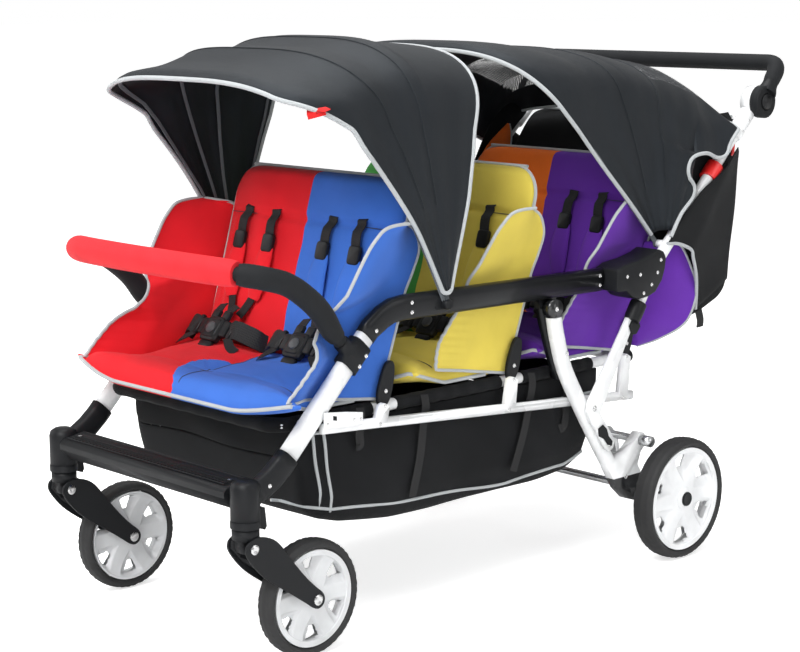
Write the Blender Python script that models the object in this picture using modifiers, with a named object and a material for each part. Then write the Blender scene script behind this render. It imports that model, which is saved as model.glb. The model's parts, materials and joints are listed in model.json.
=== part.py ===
"""Six-seat stroller built from named pieces. Units are metres, +Z is up,
-Y is the front, +X is the rider's left side. Each node is one closed body."""
import math

import bmesh
import bpy
import numpy as np
from mathutils import Matrix, Vector

for old in list(bpy.data.objects):
    bpy.data.objects.remove(old, do_unlink=True)

OBJECT_NAME = "six_seat_stroller"

# placing of the whole object
Y_SHIFT = 0.0135
GAP = 0.0003

# wheels
FRONT_WHEEL_R = 0.1067
FRONT_BEAD_R = 0.0880
FRONT_WHEEL_HALF = 0.0200
FRONT_WHEEL = (0.274, -0.580, 0.1067)
REAR_WHEEL_R = 0.1270
REAR_BEAD_R = 0.1080
REAR_WHEEL_HALF = 0.0240
REAR_WHEEL = (0.359, 0.370, 0.1270)
AXLE_R = 0.0080
FRONT_SPOKES = 7
REAR_SPOKES = 7

# castors
STEM_Y = -0.721
HEAD_R = 0.0260
HEAD_Z = (0.262, 0.345)
YOKE_R = 0.0240
BOLT = (-0.723, 0.228)
BOLT_R = 0.0040
ARM_THICK = 0.0060
ARM_OFFSET = 0.0235

# front legs
LEG_X = 0.276
LEG_LOW = (-0.627, 0.371)
LEG_DIR = (0.698, 0.716)
LEG_LEN = 0.2617
LEG_HALF = (0.012, 0.019)

# beams
BEAM_X = 0.2845
BEAM_HALF = (0.0125, 0.0235)
BEAM_END_Y = 0.192
EAR_X = (0.2683, 0.2823)

# rear end
PIVOT_A = (0.040, 0.556)
PIVOT_C = (0.147, 0.343)
REAR_LEG_X = (0.2828, 0.3050)
BRACE_X = (0.3057, 0.3150)
STUB_DIR = (0.5505, 0.8349)
STUB_END = (0.2791, 0.5434)
BAR_YZ = (0.310, 0.250)

# handle
TUBE_R = 0.0125
TUBE_X_LOW = 0.3155
TUBE_X_TOP = 0.3097
HUB = (0.660, 0.935)
HUB_R = 0.0345
HANDLE_LEN = 0.0980
HANDLE_ANGLE = 55.0
HANDLE_R = 0.0140
SLIDER_Y = 0.513

# seats
RAIL_X = 0.247
RAIL_R = 0.011
RAIL_Z = 0.4175
RAIL_Y = (-0.625, 0.322)
ROW_PITCH = 0.343
ROW_1_Y = -0.384
PIVOT_Z = 0.450
BACK_ANGLE = 74.0
BACK_HALF = 0.245
BACK_START = 0.032
BACK_END = 0.385
BOARD_HALF_T = 0.004
SEAT_HALF = 0.2565
WING_X = (0.2505, 0.2565)
LINK_X = (0.2685, 0.2805)
BRACKET_X = (0.2585, 0.2608, 0.2680)

# canopies
CLIP_F = (-0.263, 0.600)
CLIP_R = (0.359, 0.655)
BOW_HALF = (0.0014, 0.0050)

SIDES = (("left", 1.0), ("right", -1.0))
ROWS = (1, 2, 3)

part_col = bpy.data.collections.new(OBJECT_NAME)
cut_col = bpy.data.collections.new("cutters")
bpy.context.scene.collection.children.link(part_col)
bpy.context.scene.collection.children.link(cut_col)


def unit(v):
    """Unit vector of v."""
    v = np.asarray(v, float)
    return v / np.linalg.norm(v)


def paint(obj, colour, rough=0.5, metal=0.0):
    """Give the object its own plain material."""
    mat = bpy.data.materials.new("mat_" + obj.name)
    mat.use_nodes = True
    shader = mat.node_tree.nodes["Principled BSDF"]
    shader.inputs["Base Color"].default_value = (*colour, 1.0)
    shader.inputs["Roughness"].default_value = rough
    shader.inputs["Metallic"].default_value = metal
    obj.data.materials.append(mat)
    return obj


def make(name, verts, faces, smooth=True, col=None):
    """Object from points and faces, shifted into the shared frame."""
    pts = np.array(verts, float) + np.array([0.0, Y_SHIFT, 0.0])
    mesh = bpy.data.meshes.new(name)
    mesh.from_pydata([tuple(p) for p in pts], [], [tuple(f) for f in faces])
    bm = bmesh.new()
    bm.from_mesh(mesh)
    bmesh.ops.recalc_face_normals(bm, faces=bm.faces)
    bm.to_mesh(mesh)
    bm.free()
    if smooth:
        mesh.polygons.foreach_set("use_smooth", [True] * len(mesh.polygons))
        mesh.set_sharp_from_angle(angle=math.radians(42))
    obj = bpy.data.objects.new(name, mesh)
    (col or part_col).objects.link(obj)
    return obj


def loft(name, loops, closed=False, smooth=True, col=None):
    """Skin through loops of points, with flat end caps."""
    count = len(loops[0])
    verts = np.concatenate(loops)
    faces = []
    spans = len(loops) if closed else len(loops) - 1
    for i in range(spans):
        a = i * count
        b = ((i + 1) % len(loops)) * count
        for k in range(count):
            m = (k + 1) % count
            faces.append((a + k, a + m, b + m, b + k))
    if not closed:
        faces.append(tuple(range(count)))
        faces.append(tuple(range(len(verts) - count, len(verts))))
    return make(name, verts, faces, smooth, col)


def frames(path, closed, ref):
    """Tangents and side vectors carried along a path."""
    path = np.asarray(path, float)
    n = len(path)
    out = []
    side = np.asarray(ref, float)
    for i in range(n):
        if closed:
            t = path[(i + 1) % n] - path[i - 1]
        elif i == 0:
            t = path[1] - path[0]
        elif i == n - 1:
            t = path[-1] - path[-2]
        else:
            t = unit(path[i + 1] - path[i]) + unit(path[i] - path[i - 1])
        t = unit(t)
        side = unit(side - t * np.dot(side, t))
        out.append((t, side, np.cross(t, side)))
    return out


def section_loops(path, half_a, half_b, power, seg, closed, ref):
    """Rounded section carried along the path."""
    path = np.asarray(path, float)
    half_a = np.broadcast_to(half_a, len(path))
    half_b = np.broadcast_to(half_b, len(path))
    ang = (np.arange(seg) + 0.5) * 2 * math.pi / seg
    ca = np.sign(np.cos(ang)) * np.abs(np.cos(ang)) ** (2.0 / power)
    sa = np.sign(np.sin(ang)) * np.abs(np.sin(ang)) ** (2.0 / power)
    loops = []
    for i, (t, side, up) in enumerate(frames(path, closed, ref)):
        loop = path[i] + np.outer(ca * half_a[i], side) + np.outer(sa * half_b[i], up)
        loops.append(loop)
    return loops


def sweep(name, path, half_a, half_b=None, power=2.0, seg=14, closed=False,
          ref=(1, 0, 0), col=None):
    """Solid bar along a path; half_a lies along ref."""
    half_b = half_a if half_b is None else half_b
    loops = section_loops(path, half_a, half_b, power, seg, closed, ref)
    return loft(name, loops, closed, True, col)


def sleeve(name, path, inner, outer, seg=14, ref=(1, 0, 0)):
    """Open-ended tube wall along a path."""
    a = section_loops(path, outer, outer, 2.0, seg, False, ref)
    b = section_loops(path, inner, inner, 2.0, seg, False, ref)
    return loft(name, a + b[::-1], True)


def rod(name, p0, p1, r, seg=18, col=None):
    """Round bar between two points."""
    d = unit(np.subtract(p1, p0))
    ref = (0, 0, 1) if abs(d[2]) < 0.9 else (1, 0, 0)
    return sweep(name, [p0, p1], r, r, 2.0, seg, False, ref, col)


def x_rod(name, yz, x0, x1, r, seg=18, col=None):
    """Round bar along X."""
    return rod(name, (x0, yz[0], yz[1]), (x1, yz[0], yz[1]), r, seg, col)


def plate(name, outline, x0, x1, col=None):
    """Flat plate with an outline in the YZ plane."""
    a = np.array([(x0, y, z) for y, z in outline])
    b = np.array([(x1, y, z) for y, z in outline])
    return loft(name, [a, b], False, False, col)


def bevel(obj, width, seg=2, angle=35):
    """Rounded edges."""
    mod = obj.modifiers.new("bevel", "BEVEL")
    mod.width = width
    mod.segments = seg
    mod.limit_method = "ANGLE"
    mod.angle_limit = math.radians(angle)
    return obj


def combine(obj, tool, kind):
    """Join or cut with a hidden helper."""
    mod = obj.modifiers.new("join" if kind == "UNION" else "cut", "BOOLEAN")
    mod.operation = kind
    mod.solver = "EXACT"
    mod.object = tool
    tool.hide_render = True
    tool.display_type = "WIRE"
    return obj


def add(obj, *tools):
    """Join helpers onto the object."""
    for tool in tools:
        combine(obj, tool, "UNION")
    return obj


def cut(obj, *tools):
    """Cut helpers out of the object."""
    for tool in tools:
        combine(obj, tool, "DIFFERENCE")
    return obj


def origin(obj, point):
    """Move the origin to a point on the joint axis."""
    p = Vector(point) + Vector((0, Y_SHIFT, 0))
    obj.data.transform(Matrix.Translation(-p))
    obj.location = p
    return obj


def fillet(points, radius, steps=4, closed=False):
    """Path with rounded corners."""
    pts = [np.asarray(p, float) for p in points]
    n = len(pts)
    out = [] if closed else [pts[0]]
    for i in (range(n) if closed else range(1, n - 1)):
        a, p, b = pts[i - 1], pts[i], pts[(i + 1) % n]
        reach = min(radius, 0.48 * np.linalg.norm(a - p), 0.48 * np.linalg.norm(b - p))
        q0 = p + unit(a - p) * reach
        q2 = p + unit(b - p) * reach
        for k in range(steps + 1):
            t = k / steps
            out.append((1 - t) ** 2 * q0 + 2 * t * (1 - t) * p + t * t * q2)
    if not closed:
        out.append(pts[-1])
    return np.array(out)


def spline(points, per=4):
    """Smooth path through points."""
    p = [np.asarray(q, float) for q in points]
    p = [2 * p[0] - p[1]] + p + [2 * p[-1] - p[-2]]
    out = []
    for i in range(1, len(p) - 2):
        for k in range(per):
            t = k / per
            out.append(0.5 * ((2 * p[i]) + (p[i + 1] - p[i - 1]) * t
                              + (2 * p[i - 1] - 5 * p[i] + 4 * p[i + 1] - p[i + 2]) * t ** 2
                              + (3 * p[i] - p[i - 1] - 3 * p[i + 1] + p[i + 2]) * t ** 3))
    out.append(p[-2])
    return np.array(out)


def on_leg(s, up=0.0):
    """Point on the front leg line; up is square to it."""
    return (LEG_LOW[0] + LEG_DIR[0] * s - LEG_DIR[1] * up,
            LEG_LOW[1] + LEG_DIR[1] * s + LEG_DIR[0] * up)


def pad(name, origin_yz, along, normal, rows, columns, height):
    """Cushion: a flat back, and a front face whose height is a formula.
    rows are (distance along, half width); height is a function of u, a."""
    along = np.array([0.0, *along])
    normal = np.array([0.0, *normal])
    base = np.array([0.0, *origin_yz])
    verts = []
    for a, half in rows:
        for u in columns:
            h = height(u, a)
            verts.append(base + along * a + normal * h + np.array([u * half, 0, 0]))
    nx, ny = len(columns), len(rows)
    faces = []
    for j in range(ny - 1):
        for i in range(nx - 1):
            k = j * nx + i
            faces.append((k, k + 1, k + nx + 1, k + nx))
    rim = [i for i in range(nx)]
    rim += [j * nx + nx - 1 for j in range(1, ny)]
    rim += [(ny - 1) * nx + i for i in range(nx - 2, -1, -1)]
    rim += [j * nx for j in range(ny - 2, 0, -1)]
    start = len(verts)
    for k in rim:
        v = verts[k]
        verts.append(v - normal * np.dot(v - base, normal))
    m = len(rim)
    for i in range(m):
        j = (i + 1) % m
        faces.append((rim[i], rim[j], start + j, start + i))
    faces.append(tuple(range(start, start + m)))
    return make(name, verts, faces)


def side_beams():
    """Oval beam with front elbow and an inner hanger."""
    for side, s in SIDES:
        end = on_leg(LEG_LEN + GAP)
        mid = on_leg(LEG_LEN + 0.018)
        pts = [(LEG_X * s, *end), (LEG_X * s, *mid), (0.279 * s, -0.405, 0.590),
               (0.283 * s, -0.385, 0.600), (BEAM_X * s, -0.360, 0.603),
               (BEAM_X * s, -0.263, 0.602), (BEAM_X * s, BEAM_END_Y, 0.597)]
        obj = sweep("side_beam_" + side, pts, [0.0125] * 7,
                    [0.0205, 0.0215, 0.0230, 0.0235, 0.0235, 0.0235, 0.0235], 3.0, 16)
        strip = [(0.010, 0.590), (0.016, 0.556), (0.028, 0.520), (0.045, 0.470),
                 (0.062, 0.428), (0.070, 0.4075), (0.090, 0.4075), (0.088, 0.428),
                 (0.075, 0.470), (0.062, 0.520), (0.060, 0.556), (0.066, 0.590)]
        ear = plate("ear_" + side, strip, EAR_X[0] * s, EAR_X[1] * s, cut_col)
        boss = x_rod("ear_boss_" + side, (0.080, RAIL_Z), (RAIL_X + RAIL_R + GAP) * s,
                     (EAR_X[0] + 0.004) * s, 0.0090, 16, cut_col)
        hole = x_rod("ear_hole_" + side, PIVOT_A, 0.260 * s, 0.2825 * s, 0.0063, 16, cut_col)
        cut(add(obj, ear, boss), hole)
        paint(obj, (0.02, 0.02, 0.022), 0.45)


def front_legs():
    """Flat-oval leg tubes with a boss that meets the seat rail."""
    for side, s in SIDES:
        path = [(LEG_X * s, *on_leg(GAP)), (LEG_X * s, *on_leg(LEG_LEN))]
        obj = sweep("front_leg_" + side, path, *LEG_HALF, 3.0, 16)
        y = LEG_LOW[0] + (RAIL_Z - LEG_LOW[1]) * LEG_DIR[0] / LEG_DIR[1]
        boss = x_rod("leg_boss_" + side, (y, RAIL_Z), (RAIL_X + RAIL_R + GAP) * s,
                     (LEG_X - 0.008) * s, 0.0100, 16, cut_col)
        paint(add(obj, boss), (0.85, 0.85, 0.84), 0.3)


def leg_knuckles():
    """Clamp round the leg with a socket for the bumper peg."""
    for side, s in SIDES:
        path = [(LEG_X * s, *on_leg(0.193)), (LEG_X * s, *on_leg(0.247))]
        obj = sweep("leg_knuckle_" + side, path, 0.0160, 0.0235, 3.4, 16)
        bore = sweep("knuckle_bore_" + side, [(LEG_X * s, *on_leg(0.18)), (LEG_X * s, *on_leg(0.26))],
                     LEG_HALF[0] + GAP, LEG_HALF[1] + GAP, 3.0, 16, col=cut_col)
        c = np.array([LEG_X * s, *on_leg(0.220)])
        d = np.array([0, -0.7071, 0.7071])
        boss = rod("knuckle_boss_" + side, c + d * 0.010, c + d * 0.038, 0.0150, 18, cut_col)
        hole = rod("knuckle_hole_" + side, c + d * 0.0200, c + d * 0.045, 0.0078, 16, cut_col)
        paint(cut(add(obj, boss), bore, hole), (0.02, 0.02, 0.022), 0.5)


def castor_heads():
    """Stem housing with the angled socket for the leg."""
    for side, s in SIDES:
        z0, z1 = HEAD_Z
        path = [(0.274 * s, STEM_Y, z) for z in (z0, z1 - 0.014, z1 - 0.005, z1)]
        obj = sweep("caster_head_" + side, path, [HEAD_R, HEAD_R, HEAD_R * 0.9, HEAD_R * 0.6],
                    [HEAD_R, HEAD_R, HEAD_R * 0.9, HEAD_R * 0.6], 2.0, 24)
        pts = [(LEG_X * s, *on_leg(0.0)), (LEG_X * s, *on_leg(-0.020)),
               (0.275 * s, -0.664, 0.338), (0.274 * s, -0.690, 0.323), (0.274 * s, -0.712, 0.314)]
        arm = sweep("socket_" + side, pts, [0.0150] * 5, [0.0225, 0.0225, 0.0225, 0.022, 0.021],
                    3.0, 16, col=cut_col)
        paint(add(obj, arm), (0.02, 0.02, 0.022), 0.5)


def footrest():
    """Ribbed bar between the castor heads."""
    half = 0.274 - HEAD_R - GAP
    out = [(-0.746, 0.312), (-0.746, 0.322), (-0.738, 0.330), (-0.690, 0.338), (-0.684, 0.330),
           (-0.684, 0.300), (-0.690, 0.292), (-0.700, 0.288), (-0.725, 0.290)]
    obj = plate("footrest_bar", out, -half, half)
    for k in range(4):
        y = -0.732 + 0.0125 * k
        z = 0.3300 + 0.00165 * (k + 0.5) + 0.0012
        groove = x_rod("groove_%d" % k, (y, z + 0.0012), -half + 0.012, half - 0.012, 0.0024, 8, cut_col)
        cut(obj, groove)
    paint(obj, (0.025, 0.025, 0.027), 0.7)


def tube_path():
    """Line of the left handle tube from stub to hub."""
    low = (TUBE_X_LOW, *STUB_END)
    knee = (TUBE_X_LOW, 0.3270, 0.6152)
    top = (TUBE_X_TOP, *HUB)
    return fillet([low, knee, top], 0.030, 4)


def flip(path, s):
    """Path mirrored to the side s."""
    return np.asarray(path) * np.array([s, 1, 1])


def handle_tubes():
    """Tube with lower stub, canopy clip and fixed hub half."""
    for side, s in SIDES:
        path = flip(tube_path(), s)
        obj = sweep("handle_tube_" + side, path, TUBE_R, TUBE_R, 2.0, 18)
        hub = x_rod("hub_" + side, HUB, 0.2970 * s, 0.3225 * s, 0.0330, 28, cut_col)
        clip = x_rod("clip_" + side, CLIP_R, 0.2975 * s, 0.3120 * s, 0.0085, 14, cut_col)
        paint(add(obj, hub, clip), (0.85, 0.85, 0.84), 0.3)


def rear_knuckles():
    """Screwed housing round the handle tube, at the beam's end."""
    out = [(BEAM_END_Y + GAP, 0.576), (BEAM_END_Y + GAP, 0.619), (0.215, 0.628), (0.262, 0.633),
           (0.300, 0.641), (0.322, 0.650), (0.338, 0.644), (0.346, 0.630), (0.343, 0.608),
           (0.334, 0.585), (0.313, 0.563), (0.292, 0.556), (0.262, 0.553), (0.240, 0.560), (0.222, 0.574)]
    for side, s in SIDES:
        obj = bevel(plate("rear_knuckle_" + side, out, 0.2700 * s, 0.3310 * s), 0.003, 2)
        bore = sweep("clamp_bore_" + side, flip(tube_path(), s), TUBE_R + GAP, TUBE_R + GAP,
                     2.0, 18, col=cut_col)
        paint(cut(obj, bore), (0.02, 0.02, 0.022), 0.5)


def seat_rail():
    """Ring of tube under the seats."""
    y0, y1 = RAIL_Y
    ring = [(RAIL_X, y0, RAIL_Z), (RAIL_X, y1, RAIL_Z), (-RAIL_X, y1, RAIL_Z), (-RAIL_X, y0, RAIL_Z)]
    obj = sweep("seat_rail", fillet(ring, 0.040, 5, True), RAIL_R, RAIL_R, 2.0, 12, True, (0, 0, 1))
    paint(obj, (0.85, 0.85, 0.84), 0.3)


def back_frame(row):
    """Pivot, direction along the back, and its front normal."""
    a = math.radians(BACK_ANGLE)
    pivot = (ROW_1_Y + ROW_PITCH * (row - 1), PIVOT_Z)
    return pivot, (math.cos(a), math.sin(a)), (-math.sin(a), math.cos(a))


def back_rows(start, end, half, radius, count):
    """Rows of a back with rounded top corners."""
    rows = []
    for a in np.concatenate([np.linspace(start, end - radius, count)[:-1],
                             end - radius + radius * np.sin(np.linspace(0, math.pi / 2, 5))]):
        d = max(0.0, a - (end - radius))
        rows.append((float(a), half - radius + math.sqrt(max(radius ** 2 - d * d, 0.0))))
    return rows


def seat_backs():
    """Back cushions on boards with side brackets."""
    colours = ((0.05, 0.30, 0.60), (0.75, 0.62, 0.02), (0.16, 0.03, 0.20))
    cols = [-1, -0.985, -0.93, -0.8, -0.55, -0.3, -0.1, -0.03, 0, 0.03, 0.1, 0.3, 0.55, 0.8, 0.93, 0.985, 1]
    for row in ROWS:
        pivot, d, n = back_frame(row)
        p0 = (pivot[0] + n[0] * (BOARD_HALF_T + GAP), pivot[1] + n[1] * (BOARD_HALF_T + GAP))
        rows = back_rows(BACK_START, BACK_END, BACK_HALF, 0.060, 9)

        def height(u, a):
            edge = (1 - abs(u) ** 8) ** 0.5
            ends = min(1.0, max(0.0, (BACK_END - a) / 0.03)) ** 0.5
            ends *= min(1.0, max(0.0, (a - BACK_START) / 0.02)) ** 0.5
            seam = 1 - 0.22 * math.exp(-(u / 0.03) ** 2) - 0.15 * math.exp(-((a - 0.28) / 0.012) ** 2)
            crown = 0.9 + 0.1 * math.cos(2 * math.pi * (abs(u) - 0.5))
            return 0.014 + 0.026 * edge * ends * seam * crown
        pad_obj = pad("seat_back_%d" % row, p0, d, n, rows, cols, height)
        paint(pad_obj, colours[row - 1], 0.85)
        origin(pad_obj, (0, *pivot))
        half = BACK_HALF - 0.004
        corners = [(-half, 0.0), (half, 0.0), (half, 0.33), (half - 0.045, 0.378),
                   (-half + 0.045, 0.378), (-half, 0.33)]
        loops = []
        for off in (-BOARD_HALF_T, BOARD_HALF_T):
            loops.append(np.array([(x, pivot[0] + d[0] * a + n[0] * off,
                                    pivot[1] + d[1] * a + n[1] * off) for x, a in corners]))
        board = loft("back_board_%d" % row, loops, False, False)
        parts = [x_rod("back_rod_%d" % row, pivot, -0.2600, 0.2600, 0.0080, 14, cut_col)]
        for side, s in SIDES:
            out = []
            for a, w in ((0.11, 0.009), (0.03, 0.013), (-0.006, 0.0135), (-0.030, 0.009)):
                out.append((pivot[0] + d[0] * a - n[0] * w, pivot[1] + d[1] * a - n[1] * w))
            for a, w in ((-0.034, 0.0), (-0.030, 0.009), (-0.006, 0.0135), (0.03, 0.013), (0.11, 0.009),
                         (0.118, 0.0)):
                out.append((pivot[0] + d[0] * a + n[0] * w, pivot[1] + d[1] * a + n[1] * w))
            parts.append(plate("bracket_%d_%s" % (row, side), out, BRACKET_X[0] * s,
                               BRACKET_X[1] * s, cut_col))
            foot = []
            for a, w in ((0.024, 0.0105), (-0.006, 0.0120), (-0.028, 0.0080)):
                foot.append((pivot[0] + d[0] * a - n[0] * w, pivot[1] + d[1] * a - n[1] * w))
            for a, w in ((-0.0325, 0.0), (-0.028, 0.0080), (-0.006, 0.0120), (0.024, 0.0105)):
                foot.append((pivot[0] + d[0] * a + n[0] * w, pivot[1] + d[1] * a + n[1] * w))
            parts.append(plate("bracket_foot_%d_%s" % (row, side), foot, (BRACKET_X[0] + 0.0012) * s,
                               BRACKET_X[2] * s, cut_col))
        origin(add(board, *parts), (0, *pivot))
        paint(board, (0.02, 0.02, 0.022), 0.6)


def seat_bases():
    """Seat cushions with side wings in one cloth piece."""
    colours = ((0.05, 0.30, 0.60), (0.75, 0.62, 0.02), (0.16, 0.03, 0.20))
    cols = [-1, -0.985, -0.93, -0.8, -0.55, -0.3, -0.1, -0.03, 0, 0.03, 0.1, 0.3, 0.55, 0.8, 0.93, 0.985, 1]
    for row in ROWS:
        shift = ROW_PITCH * (row - 1)
        y_back = -0.432 + shift
        length = 0.233
        rows = []
        radius = 0.075
        for a in np.concatenate([np.linspace(0, length - radius, 5)[:-1],
                                 length - radius + radius * np.sin(np.linspace(0, math.pi / 2, 6))]):
            dd = max(0.0, a - (length - radius))
            rows.append((float(a), SEAT_HALF - radius + math.sqrt(max(radius ** 2 - dd * dd, 0.0))))

        def height(u, a):
            edge = (1 - abs(u) ** 8) ** 0.5
            ends = min(1.0, max(0.0, (length - a) / 0.03)) ** 0.5 * min(1.0, (a + 0.004) / 0.02) ** 0.5
            seam = 1 - 0.2 * math.exp(-(u / 0.03) ** 2)
            return 0.018 + 0.034 * edge * ends * seam
        obj = pad("seat_base_%d" % row, (y_back, 0.4288), (-1, 0), (0, 1), rows, cols, height)
        wing = [(-0.606, 0.4290), (-0.398, 0.4290), (-0.398, 0.470), (-0.318, 0.728),
                (-0.330, 0.745), (-0.358, 0.746), (-0.400, 0.721), (-0.432, 0.674),
                (-0.468, 0.625), (-0.500, 0.578), (-0.527, 0.522), (-0.585, 0.482), (-0.610, 0.462)]
        for side, s in SIDES:
            out = [(y + shift, z) for y, z in wing]
            add(obj, plate("wing_%d_%s" % (row, side), out, WING_X[0] * s, WING_X[1] * s, cut_col))
        paint(obj, colours[row - 1], 0.85)


def link_rails():
    """Bars with small links that tie the backs together."""
    for side, s in SIDES:
        x = 0.5 * (LINK_X[0] + LINK_X[1]) * s
        ends = [(x, -0.547, 0.406), (x, -0.447, 0.399), (x, 0.312, 0.341)]
        obj = sweep("link_rail_" + side, ends, 0.0060, 0.0095, 3.0, 12)
        for row in ROWS:
            y = ROW_1_Y + ROW_PITCH * (row - 1)
            z = 0.399 - (y + 0.447) * 0.0764
            out = [(y - 0.036, z + 0.004), (y - 0.008, z), (y - 0.002, 0.424), (y - 0.014, 0.431),
                   (y - 0.026, 0.428)]
            add(obj, plate("link_%d_%s" % (row, side), out, LINK_X[0] * s, LINK_X[1] * s, cut_col))
        origin(obj, (x, -0.447, 0.399))
        paint(obj, (0.85, 0.85, 0.84), 0.3)


def basket():
    """Hanging cloth tray, open at the top."""
    ys = [-0.545, -0.530, -0.500, -0.400, -0.250, -0.080, 0.080, 0.170, 0.208, 0.218]
    lows = [0.330, 0.258, 0.240, 0.222, 0.206, 0.202, 0.208, 0.218, 0.240, 0.320]
    top = 0.4064
    wall = 0.003
    loops = []
    half = 0.2500
    prof = []
    for y, low in zip(ys, lows):
        w = half - 0.010
        prof.append([(-half, y, top), (-half + 0.002, y, 0.5 * (top + low)), (-w, y, low + 0.012),
                     (-w + 0.014, y, low), (0, y, low - 0.004), (w - 0.014, y, low),
                     (w, y, low + 0.012), (half - 0.002, y, 0.5 * (top + low)), (half, y, top)])
    outer = np.array(prof)
    n_y, n_p = outer.shape[:2]
    verts = outer.reshape(-1, 3).tolist()
    faces = []
    for j in range(n_y - 1):
        for i in range(n_p - 1):
            k = j * n_p + i
            faces.append((k, k + 1, k + n_p + 1, k + n_p))
    faces.append(tuple(range(n_p)))
    faces.append(tuple((n_y - 1) * n_p + i for i in range(n_p - 1, -1, -1)))
    obj = make("basket", verts, faces)
    shell = obj.modifiers.new("wall", "SOLIDIFY")
    shell.thickness = wall
    shell.offset = -1.0
    shell.use_even_offset = True
    shell.use_rim = True
    paint(obj, (0.03, 0.03, 0.033), 0.9)


def bumper_path():
    """Line of the bumper bar from left knuckle to right knuckle."""
    c = np.array([LEG_X, *on_leg(0.220)])
    d = np.array([0, -0.7071, 0.7071])
    half = [tuple(c + d * 0.0395), tuple(c + d * 0.050), tuple(c + d * 0.064), (0.2760, -0.5560, 0.6240), (0.2740, -0.6150, 0.6680),
            (0.2660, -0.6680, 0.6860), (0.2380, -0.7010, 0.6935), (0.1500, -0.7270, 0.6980),
            (0.0, -0.7390, 0.7000)]
    full = half + [(-x, y, z) for x, y, z in half[-2::-1]]
    return spline(full, 3)


def bumper():
    """Padded bumper bar with pegs, and its sleeve."""
    path = bumper_path()
    obj = sweep("bumper_bar", path, 0.0130, 0.0130, 2.0, 10, False, (0, 0, 1))
    d = np.array([0, -0.7071, 0.7071])
    for side, s in SIDES:
        c = np.array([LEG_X * s, *on_leg(0.220)])
        add(obj, rod("peg_" + side, c + d * 0.0205, c + d * 0.044, 0.0075, 14, cut_col))
    origin(obj, (0, *on_leg(0.220)))
    paint(obj, (0.02, 0.02, 0.022), 0.8)
    mid = path[np.abs(path[:, 0]) < 0.236]
    ring = sleeve("bumper_sleeve", mid, 0.0142, 0.0180, 10, (0, 0, 1))
    origin(ring, (0, *on_leg(0.220)))
    paint(ring, (0.55, 0.02, 0.03), 0.8)


def handle():
    """Angled handle bar with moving hub halves, and the hub buttons."""
    a = math.radians(HANDLE_ANGLE)
    d = np.array([0, math.cos(a), math.sin(a)])
    hub = np.array([0, *HUB])
    x = 0.3316
    pts = []
    halves = []
    for dist, half in ((0.010, 0.0085), (0.036, 0.0085), (0.050, 0.0125)):
        pts.append(hub + d * dist + np.array([x, 0, 0]))
        halves.append(half)
    corner = fillet([pts[-1], hub + d * HANDLE_LEN + np.array([x, 0, 0]),
                     hub + d * HANDLE_LEN + np.array([0.20, 0, 0])], 0.045, 5)
    left = pts[:-1] + list(corner)
    halves = halves[:-1] + [0.0125] + [HANDLE_R] * (len(corner) - 1)
    path = np.array(left + [p * np.array([-1, 1, 1]) for p in left[::-1]])
    halves = np.array(halves + halves[::-1])
    obj = sweep("handle_bar", path, halves, np.maximum(halves, 0.0125), 2.0, 12, False, (1, 0, 0))
    for side, s in SIDES:
        disc = x_rod("disc_" + side, HUB, 0.3228 * s, 0.3405 * s, HUB_R, 28, cut_col)
        pocket = x_rod("pocket_" + side, HUB, 0.3355 * s, 0.3480 * s, 0.0165, 20, cut_col)
        cut(add(obj, disc), pocket)
        button = x_rod("hub_button_" + side, HUB, 0.3398 * s, 0.3450 * s, 0.0161, 20)
        paint(origin(button, (0.3398 * s, *HUB)), (0.05, 0.05, 0.055), 0.5)
    origin(obj, (0, *HUB))
    paint(obj, (0.03, 0.03, 0.032), 0.7)


def sliders():
    """Trigger sleeves on the handle tubes."""
    top = np.array([TUBE_X_TOP, *HUB])
    knee = np.array([TUBE_X_LOW, 0.3270, 0.6152])
    d = unit(top - knee)
    mid = knee + d * ((SLIDER_Y - knee[1]) / d[1])
    for side, s in SIDES:
        path = flip([mid - d * 0.018, mid + d * 0.018], s)
        obj = sleeve("fold_slider_" + side, path, TUBE_R + GAP, 0.0185, 18)
        paint(origin(obj, tuple(flip([mid], s)[0])), (0.7, 0.03, 0.03), 0.5)


def star(r_hub, r_out, half_in, half_out, count, centre):
    """Outline of tapered spokes round a centre in the YZ plane."""
    out = []
    for k in range(count):
        a = 2 * math.pi * k / count + math.pi / 2
        for r, w in ((r_hub, -half_in), (r_out, -half_out), (r_out, half_out), (r_hub, half_in)):
            out.append((centre[0] + r * math.cos(a) - w * math.sin(a),
                        centre[1] + r * math.sin(a) + w * math.cos(a)))
    return out


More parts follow.
